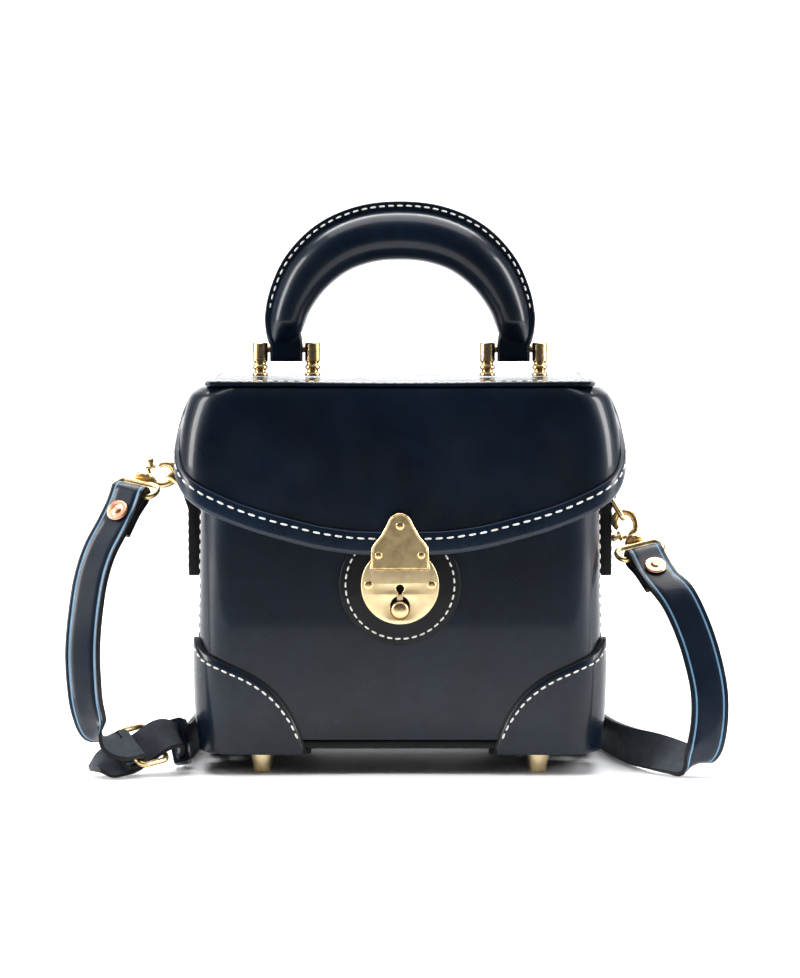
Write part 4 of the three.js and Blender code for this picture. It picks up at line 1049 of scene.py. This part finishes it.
FIT = 0.3
WIRE = 3.0
RING_WIDE, RING_LONG = 30, 19
EYE_WIDE, EYE_LONG, EYE_SLIDE = 27.6, 12, 0.4
HOOK_WIRE, HOOK_INNER, HOOK_SHANK, HOOK_FORWARD = 3.6, 3.4, 11.8, 8.2
COLLAR_RADIUS, COLLAR_THICK = 4.7, 2.6
GATE_LONG, GATE_WIDE = 5.2, 2.2
GATE_FOOT_Z, THUMB_Z = -8.05, -6.4
hands = {
    "left": dict(
        side=-1, ring=vec(-0.78, 0, 0.62), hook=vec(-0.95, -0.05, -0.22),
        eye=vec(-0.55, -0.64, -0.53), across=vec(-0.86, 0.46, 0.16), hang=vec(-0.38, -0.45, -0.81),
    ),
    "right": dict(
        side=1, ring=vec(0.52, -0.05, -0.85), hook=vec(0.36, -0.36, -0.82),
        eye=vec(0.46, -0.72, -0.5), across=vec(0.93, 0.32, 0.2), hang=vec(0.37, -0.74, -0.56),
    ),
}
hook_middle = HOOK_INNER + HOOK_WIRE / 2
hook_path = [
    (hook_middle * cos(a), 0, hook_middle * sin(a)) for a in np.linspace(-0.5, pi, 11)
]
hook_path += [(-hook_middle, 0, -3), (-hook_middle * 0.7, 0, -6.2), (0, 0, -8.6), (0, 0, -HOOK_SHANK)]
collar_half = COLLAR_THICK / 2
collar_profile = [
    (0, -collar_half), (COLLAR_RADIUS - 0.4, -collar_half), (COLLAR_RADIUS, -0.6),
    (COLLAR_RADIUS, 0.6), (COLLAR_RADIUS - 0.4, collar_half), (0, collar_half),
]
hook_curve = Curve(hook_path)
bars = {}
for hand, h in hands.items():
    side = h["side"]
    pivot = vec(side * PIVOT_X, 0, PIVOT_Z)
    ring_turn = hang_frame(h["ring"], vec(0, side, 0))
    ring_obj = made(f"ring_{hand}", [wire_loop(RING_WIDE, RING_LONG, WIRE, 2.4, pivot, ring_turn)], [brass])
    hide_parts(f"side_ring_{hand}")
    far = pivot + unit(h["ring"]) * (RING_LONG - WIRE) + vec(0, -HOOK_FORWARD, 0)
    turn = hang_frame(h["hook"], vec(-1, 0, 0))
    origin = far + unit(h["hook"]) * (HOOK_INNER - WIRE / 2 - 2 * FIT)
    collar_at = origin + unit(h["hook"]) * HOOK_SHANK
    hang = unit(h["hang"])
    width = unit(h["across"] - h["across"].dot(hang) * hang)
    down_eye = unit(h["eye"] - h["eye"].dot(width) * width)
    path = [origin + turn @ hook_curve.at(t) for t in np.linspace(0, 1, 60)]
    radii = HOOK_WIRE / 2 * np.clip(0.72 + np.linspace(0, 1, 60) * 1.6, 0, 1)
    collar = lathe(collar_profile, collar_at, down_eye, 32, 0.4)
    hook = made(f"hook_{hand}", [tube(path, radii, 16), collar], [brass])
    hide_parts(f"snap_hook_{hand}")
    gate_path = [origin + turn @ vec(hook_middle, 0, -4 - t) for t in np.linspace(0, GATE_LONG, 8)]
    thumb_path = [
        origin + turn @ vec(hook_middle + 0.2 + t, 0, THUMB_Z) for t in np.linspace(0, 4.4, 10)
    ]
    thumb_radii = GATE_WIDE * 0.9 * np.array([0.7, 0.75, 0.8, 0.85, 0.9, 1, 1, 1, 0.9, 0.55])
    foot_path = [
        origin + turn @ vec(x, 0, GATE_FOOT_Z) for x in np.linspace(hook_middle, 1.95, 6)
    ]
    gate_parts = [tube(gate_path, GATE_WIDE / 2, 14), tube(thumb_path, thumb_radii, 18)]
    gate_parts.append(tube(foot_path, 1.0, 14))
    gate = made(f"gate_bar_{hand}", gate_parts, [brass], body=f"gate_{hand}")
    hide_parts(f"hook_gate_{hand}")
    eye_top = collar_at + down_eye * (COLLAR_THICK / 2 + FIT + WIRE / 2)
    eye_turn = hang_frame(down_eye, width)
    eye = made(f"eye_{hand}", [wire_loop(EYE_WIDE, EYE_LONG, WIRE, 4, eye_top, eye_turn)], [brass])
    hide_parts(f"hook_eye_{hand}")
    bars[hand] = eye_top + down_eye * (EYE_LONG - WIRE) + width * EYE_SLIDE


# Strap.
STRAP_WIDE = 19
STRAP_THICK = 3


class Fold:
    """A bar that the strap folds round: its way down and the way its outer face looks."""

    def __init__(self, bar, down, across, side):
        self.bar = bar
        self.d = unit(down)
        self.w = unit(across - across.dot(self.d) * self.d)
        self.n = np.cross(self.d, self.w) * side

    def at(self, out, along):
        return self.bar + self.n * out + self.d * along


FOLD = 3.6
LAYER = 1.7
STRAP_LIES = 9.9
RIVET_DOWN = 13
fold_rows = [
    (-LAYER, 23), (-LAYER, 10), (-FOLD * 0.75, 4), (-FOLD, 0), (-FOLD * 0.71, -FOLD * 0.71),
    (0, -FOLD), (FOLD * 0.71, -FOLD * 0.71), (FOLD, 0), (FOLD * 0.75, 4), (LAYER, 10), (LAYER, 20),
]


def turned_stations(rows, side):
    """Rows of the reach out of the box's side, y, z, and the lean and yaw of the strap's width."""
    out = []
    for reach, y, z, lean, yaw in rows:
        up, turn = radians(lean), radians(yaw)
        flat = cos(up)
        across = vec(side * flat * cos(turn), flat * sin(turn), sin(up))
        out.append((vec(side * (BODY_WIDTH / 2 + reach), y, z), across))
    return out


right_rows = [
    (37, -47, 90, 14, 4), (43.8, -52.5, 76, 13, 4), (49, -57, 60, 11, 5), (52.4, -60.5, 42, 8, 8),
    (51.9, -62.5, 25, 5, 10), (49, -63, 13.5, 10, 15), (44.5, -60, 7.3, 22, 18),
    (36, -52.5, 8.8, 44, 20), (26.5, -41, 10.1, 66, 20), (17.5, -24, 10, 84, 15),
    (9.8, 2, STRAP_LIES, 92, 10), (4.6, 29, STRAP_LIES, 91, 10), (1.5, 52, STRAP_LIES, 90, 10),
]
behind_line = [
    (vec(share * BODY_WIDTH / 2, BODY_DEPTH / 2 + back, STRAP_LIES), vec(0, 0, 1))
    for share, back in ((0.874, 28.5), (0.485, 46.5), (0, 50.5), (-0.485, 46.5), (-0.864, 28.5))
]
left_run_rows = [
    (2, 54, STRAP_LIES, 90, 20), (4.6, 22, STRAP_LIES, 90, 20), (6.8, -10, 10.6, 88, 45),
    (10.2, -31, 14, 74, 45),
]
left_hang_rows = [
    (49.6, -31.5, 112, 9, 26), (53.6, -37, 99, 6, 25), (56, -44, 82, 3, 24), (57.1, -50, 64, 1, 22),
    (56.2, -55.5, 48.5, 0, 24), (53.8, -60, 33.5, 4, 30), (48.6, -63, 22, 18, 38),
]
right_fold = Fold(bars["right"], hands["right"]["hang"], hands["right"]["across"], 1)
left_fold = Fold(bars["left"], hands["left"]["hang"], hands["left"]["across"], -1)
buckle_fold = Fold(vec(-136.5, -57.5, 14), vec(0.75, 0.63, 0.1), vec(-0.55, 0.55, 0.63), -1)
BUCKLE_FOLD = 3.9
buckle_short_rows = [
    (-BUCKLE_FOLD, -6), (-BUCKLE_FOLD, 0), (0, BUCKLE_FOLD), (BUCKLE_FOLD, 0), (BUCKLE_FOLD, -5),
]
buckle_long_rows = [(-4.4, 25), (-4.4, 18), (2.5, 9), (7.4, 1.5), (7.6, -7)]


def folded(fold, rows):
    return [(fold.at(*row), fold.w) for row in rows]


short_line = folded(left_fold, fold_rows) + turned_stations(left_hang_rows, -1)
short_line += folded(buckle_fold, buckle_short_rows)
long_line = folded(right_fold, fold_rows) + turned_stations(right_rows, 1)
long_line += behind_line + turned_stations(left_run_rows, -1)
long_line += folded(buckle_fold, buckle_long_rows)
long_line += turned_stations([(50.5, -62, 4.4, 8, 110)], -1)

# The strap's section: rounded dark edges and a crease line near each edge of the grain side.
section = [
    (-0.5, 0.0), (-0.497, 0.32), (-0.485, 0.45), (-0.465, 0.5), (-0.405, 0.5), (-0.388, 0.45),
    (-0.342, 0.45), (-0.325, 0.5), (-0.2, 0.5), (0, 0.5), (0.2, 0.5), (0.325, 0.5), (0.342, 0.45),
    (0.388, 0.45), (0.405, 0.5), (0.465, 0.5), (0.485, 0.45), (0.497, 0.32), (0.5, 0.0),
    (0.497, -0.32), (0.485, -0.45), (0.465, -0.5), (0.2, -0.5), (0, -0.5), (-0.2, -0.5),
    (-0.465, -0.5), (-0.485, -0.45), (-0.497, -0.32),
]
GRAIN, EDGE, LINE, BACK = 0, 1, 2, 3
section_slots = [EDGE] * 3 + [GRAIN] * 2 + [LINE] + [GRAIN] * 6 + [LINE] + [GRAIN] * 2
section_slots += [EDGE] * 6 + [BACK] * 4 + [EDGE] * 3


def ribbon_frames(line, step, start=0.0, end=1.0):
    at, ways = Curve([p for p, _ in line]), Curve([w for _, w in line])
    shares = np.linspace(start, end, 900)
    points = np.array([at.at(s) for s in shares])
    run = run_along(points)
    count = int(run[-1] / step) + 1
    frames = []
    for r in np.linspace(0, run[-1], count):
        s = float(np.interp(r, run, shares))
        t = unit(at.at(min(1, s + 0.0008)) - at.at(max(0, s - 0.0008)))
        w = ways.at(s)
        w = unit(w - w.dot(t) * t)
        frames.append((at.at(s), t, w, np.cross(t, w)))
    return frames, run[-1]


def strap(frames, flip):
    rings = [
        np.array([p + w * (a * STRAP_WIDE) + f * flip * (b * STRAP_THICK) for a, b in section])
        for p, _, w, f in frames
    ]
    return loft(rings, slot_of=lambda i, j: section_slots[j] if i >= 0 else EDGE)


strap_looks = [strap_leather, edge, crease, flesh]
long_frames, long_length = ribbon_frames(long_line, 1.8)
short_frames, short_length = ribbon_frames(short_line, 1.8)
strap_long = made("strap_main", [strap(long_frames, 1)], strap_looks)
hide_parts("strap_long")
strap_short = made("strap_buckle_end", [strap(short_frames, -1)], strap_looks)
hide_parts("strap_short")
# Both lengths along the middle of the leather, in millimetres.
print("strap lengths", round(long_length), round(short_length))

KEEPER_FROM, KEEPER_TO = 0.834, 0.846
keeper_frames, _ = ribbon_frames(long_line, 0.9, KEEPER_FROM, KEEPER_TO)


def keeper_ring(frame_at, grow):
    p, _, w, f = frame_at
    a, b = STRAP_WIDE / 2 + 0.4 + grow, STRAP_THICK / 2 + 0.9 + grow
    corners = [(-a, -b), (a, -b), (a, b), (-a, b)]
    return [p + w * x + f * y for x, y in fillet(corners, 1.4, 4, closed=True)]


outer = [np.array(keeper_ring(fr, 1.8)) for fr in keeper_frames]
inner = [np.array(keeper_ring(fr, 0.0)) for fr in keeper_frames]
keeper = made("keeper_band", [loft(outer + inner[::-1], round_along=True)], [strap_leather])
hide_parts("strap_keeper")

rivet_half = STRAP_THICK + 0.2 + 0.95
burr = [
    (0, -rivet_half - 1.5), (4.56, -rivet_half - 1.5), (4.56, -rivet_half - FIT),
    (2, -rivet_half - FIT), (2, rivet_half), (5.7, rivet_half), (5.7, rivet_half + 0.6),
    (5.2, rivet_half + 1.1), (3.4, rivet_half + 1.15), (2.6, rivet_half + 0.9),
    (2.2, rivet_half + 1.3), (1.3, rivet_half + 1.75), (0, rivet_half + 1.8),
]
for hand, fold in (("left", left_fold), ("right", right_fold)):
    rivet_part = lathe(burr, fold.at(0, RIVET_DOWN), fold.n, 32, 0.25)
    rivet = made(f"copper_rivet_{hand}", [rivet_part], [copper])
    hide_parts(f"strap_rivet_{hand}")

BUCKLE_WIDE, BUCKLE_LONG = 27, 20
buckle_turn = hang_frame(buckle_fold.d, buckle_fold.w)
buckle_part = wire_loop(BUCKLE_WIDE, BUCKLE_LONG, WIRE, 3.5, buckle_fold.at(0, 0), buckle_turn)
buckle = made("buckle_loop", [buckle_part], [brass])
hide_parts("buckle_frame")
prong_out = BUCKLE_FOLD - 0.6
prong_path = [buckle_fold.at(prong_out, t) for t in np.linspace(-1, 18, 12)]
prong_radii = 1.1 * np.array([0.8] + [1] * 9 + [0.8, 0.4])
prong = made("buckle_pin", [tube(prong_path, prong_radii, 14)], [brass])
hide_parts("buckle_prong")


# Floor, backdrop and light.
stage_profile = [(-640, 0), (-400, 0), (0, 0), (1200, 0), (1800, 60), (2200, 260), (2450, 600)]
stage_profile = fillet(stage_profile + [(2550, 1200), (2600, 3000)], 300, 6)
STAGE_HALF, STAGE_COLUMNS = 5000, 12
stage_xs = np.linspace(-STAGE_HALF, STAGE_HALF, STAGE_COLUMNS)
floor_mesh = bpy.data.meshes.new("floor")
floor_points = [tuple(vec(x, y, z) * MM) for y, z in stage_profile for x in stage_xs]
floor_faces = []
for i in range(len(stage_profile) - 1):
    for j in range(STAGE_COLUMNS - 1):
        low, high = i * STAGE_COLUMNS + j, (i + 1) * STAGE_COLUMNS + j
        floor_faces.append((low, low + 1, high + 1, high))
floor_mesh.from_pydata(floor_points, [], floor_faces)
floor_mesh.shade_smooth()
floor = bpy.data.objects.new("floor", floor_mesh)
scene.collection.objects.link(floor)
floor_look = Look("floor_paper")
floor_look.colour(
    floor_look.ramp(floor_look.noise(3, 2), (0.86, 0.865, 0.88), (0.9, 0.905, 0.915))
)
floor_look.put(Roughness=0.55, Specular_IOR_Level=0.3)
floor_mesh.materials.append(floor_look.material)


def softbox(name, at, towards, wide, tall, power):
    data = bpy.data.lights.new(name, "AREA")
    data.shape = "RECTANGLE"
    data.size, data.size_y = wide * MM, tall * MM
    data.energy = power
    light = bpy.data.objects.new(name, data)
    scene.collection.objects.link(light)
    light.location = Vector(at) * MM
    light.rotation_euler = (Vector(towards) - Vector(at)).to_track_quat("-Z", "Y").to_euler()
    return light


softbox("light_top", (0, 100, 1500), (0, 0, 100), 1700, 1300, 30)
softbox("light_left", (-1300, -250, 620), (0, 0, 130), 420, 1100, 26)
softbox("light_right", (1300, -200, 620), (0, 0, 130), 420, 1100, 26)
softbox("light_back", (0, 900, 1900), (0, 2000, 200), 2600, 900, 95)
world = bpy.data.worlds.new("world")
scene.world = world
world.use_nodes = True
world.node_tree.nodes["Background"].inputs[0].default_value = (0.93, 0.95, 1, 1)
world.node_tree.nodes["Background"].inputs[1].default_value = 0.06
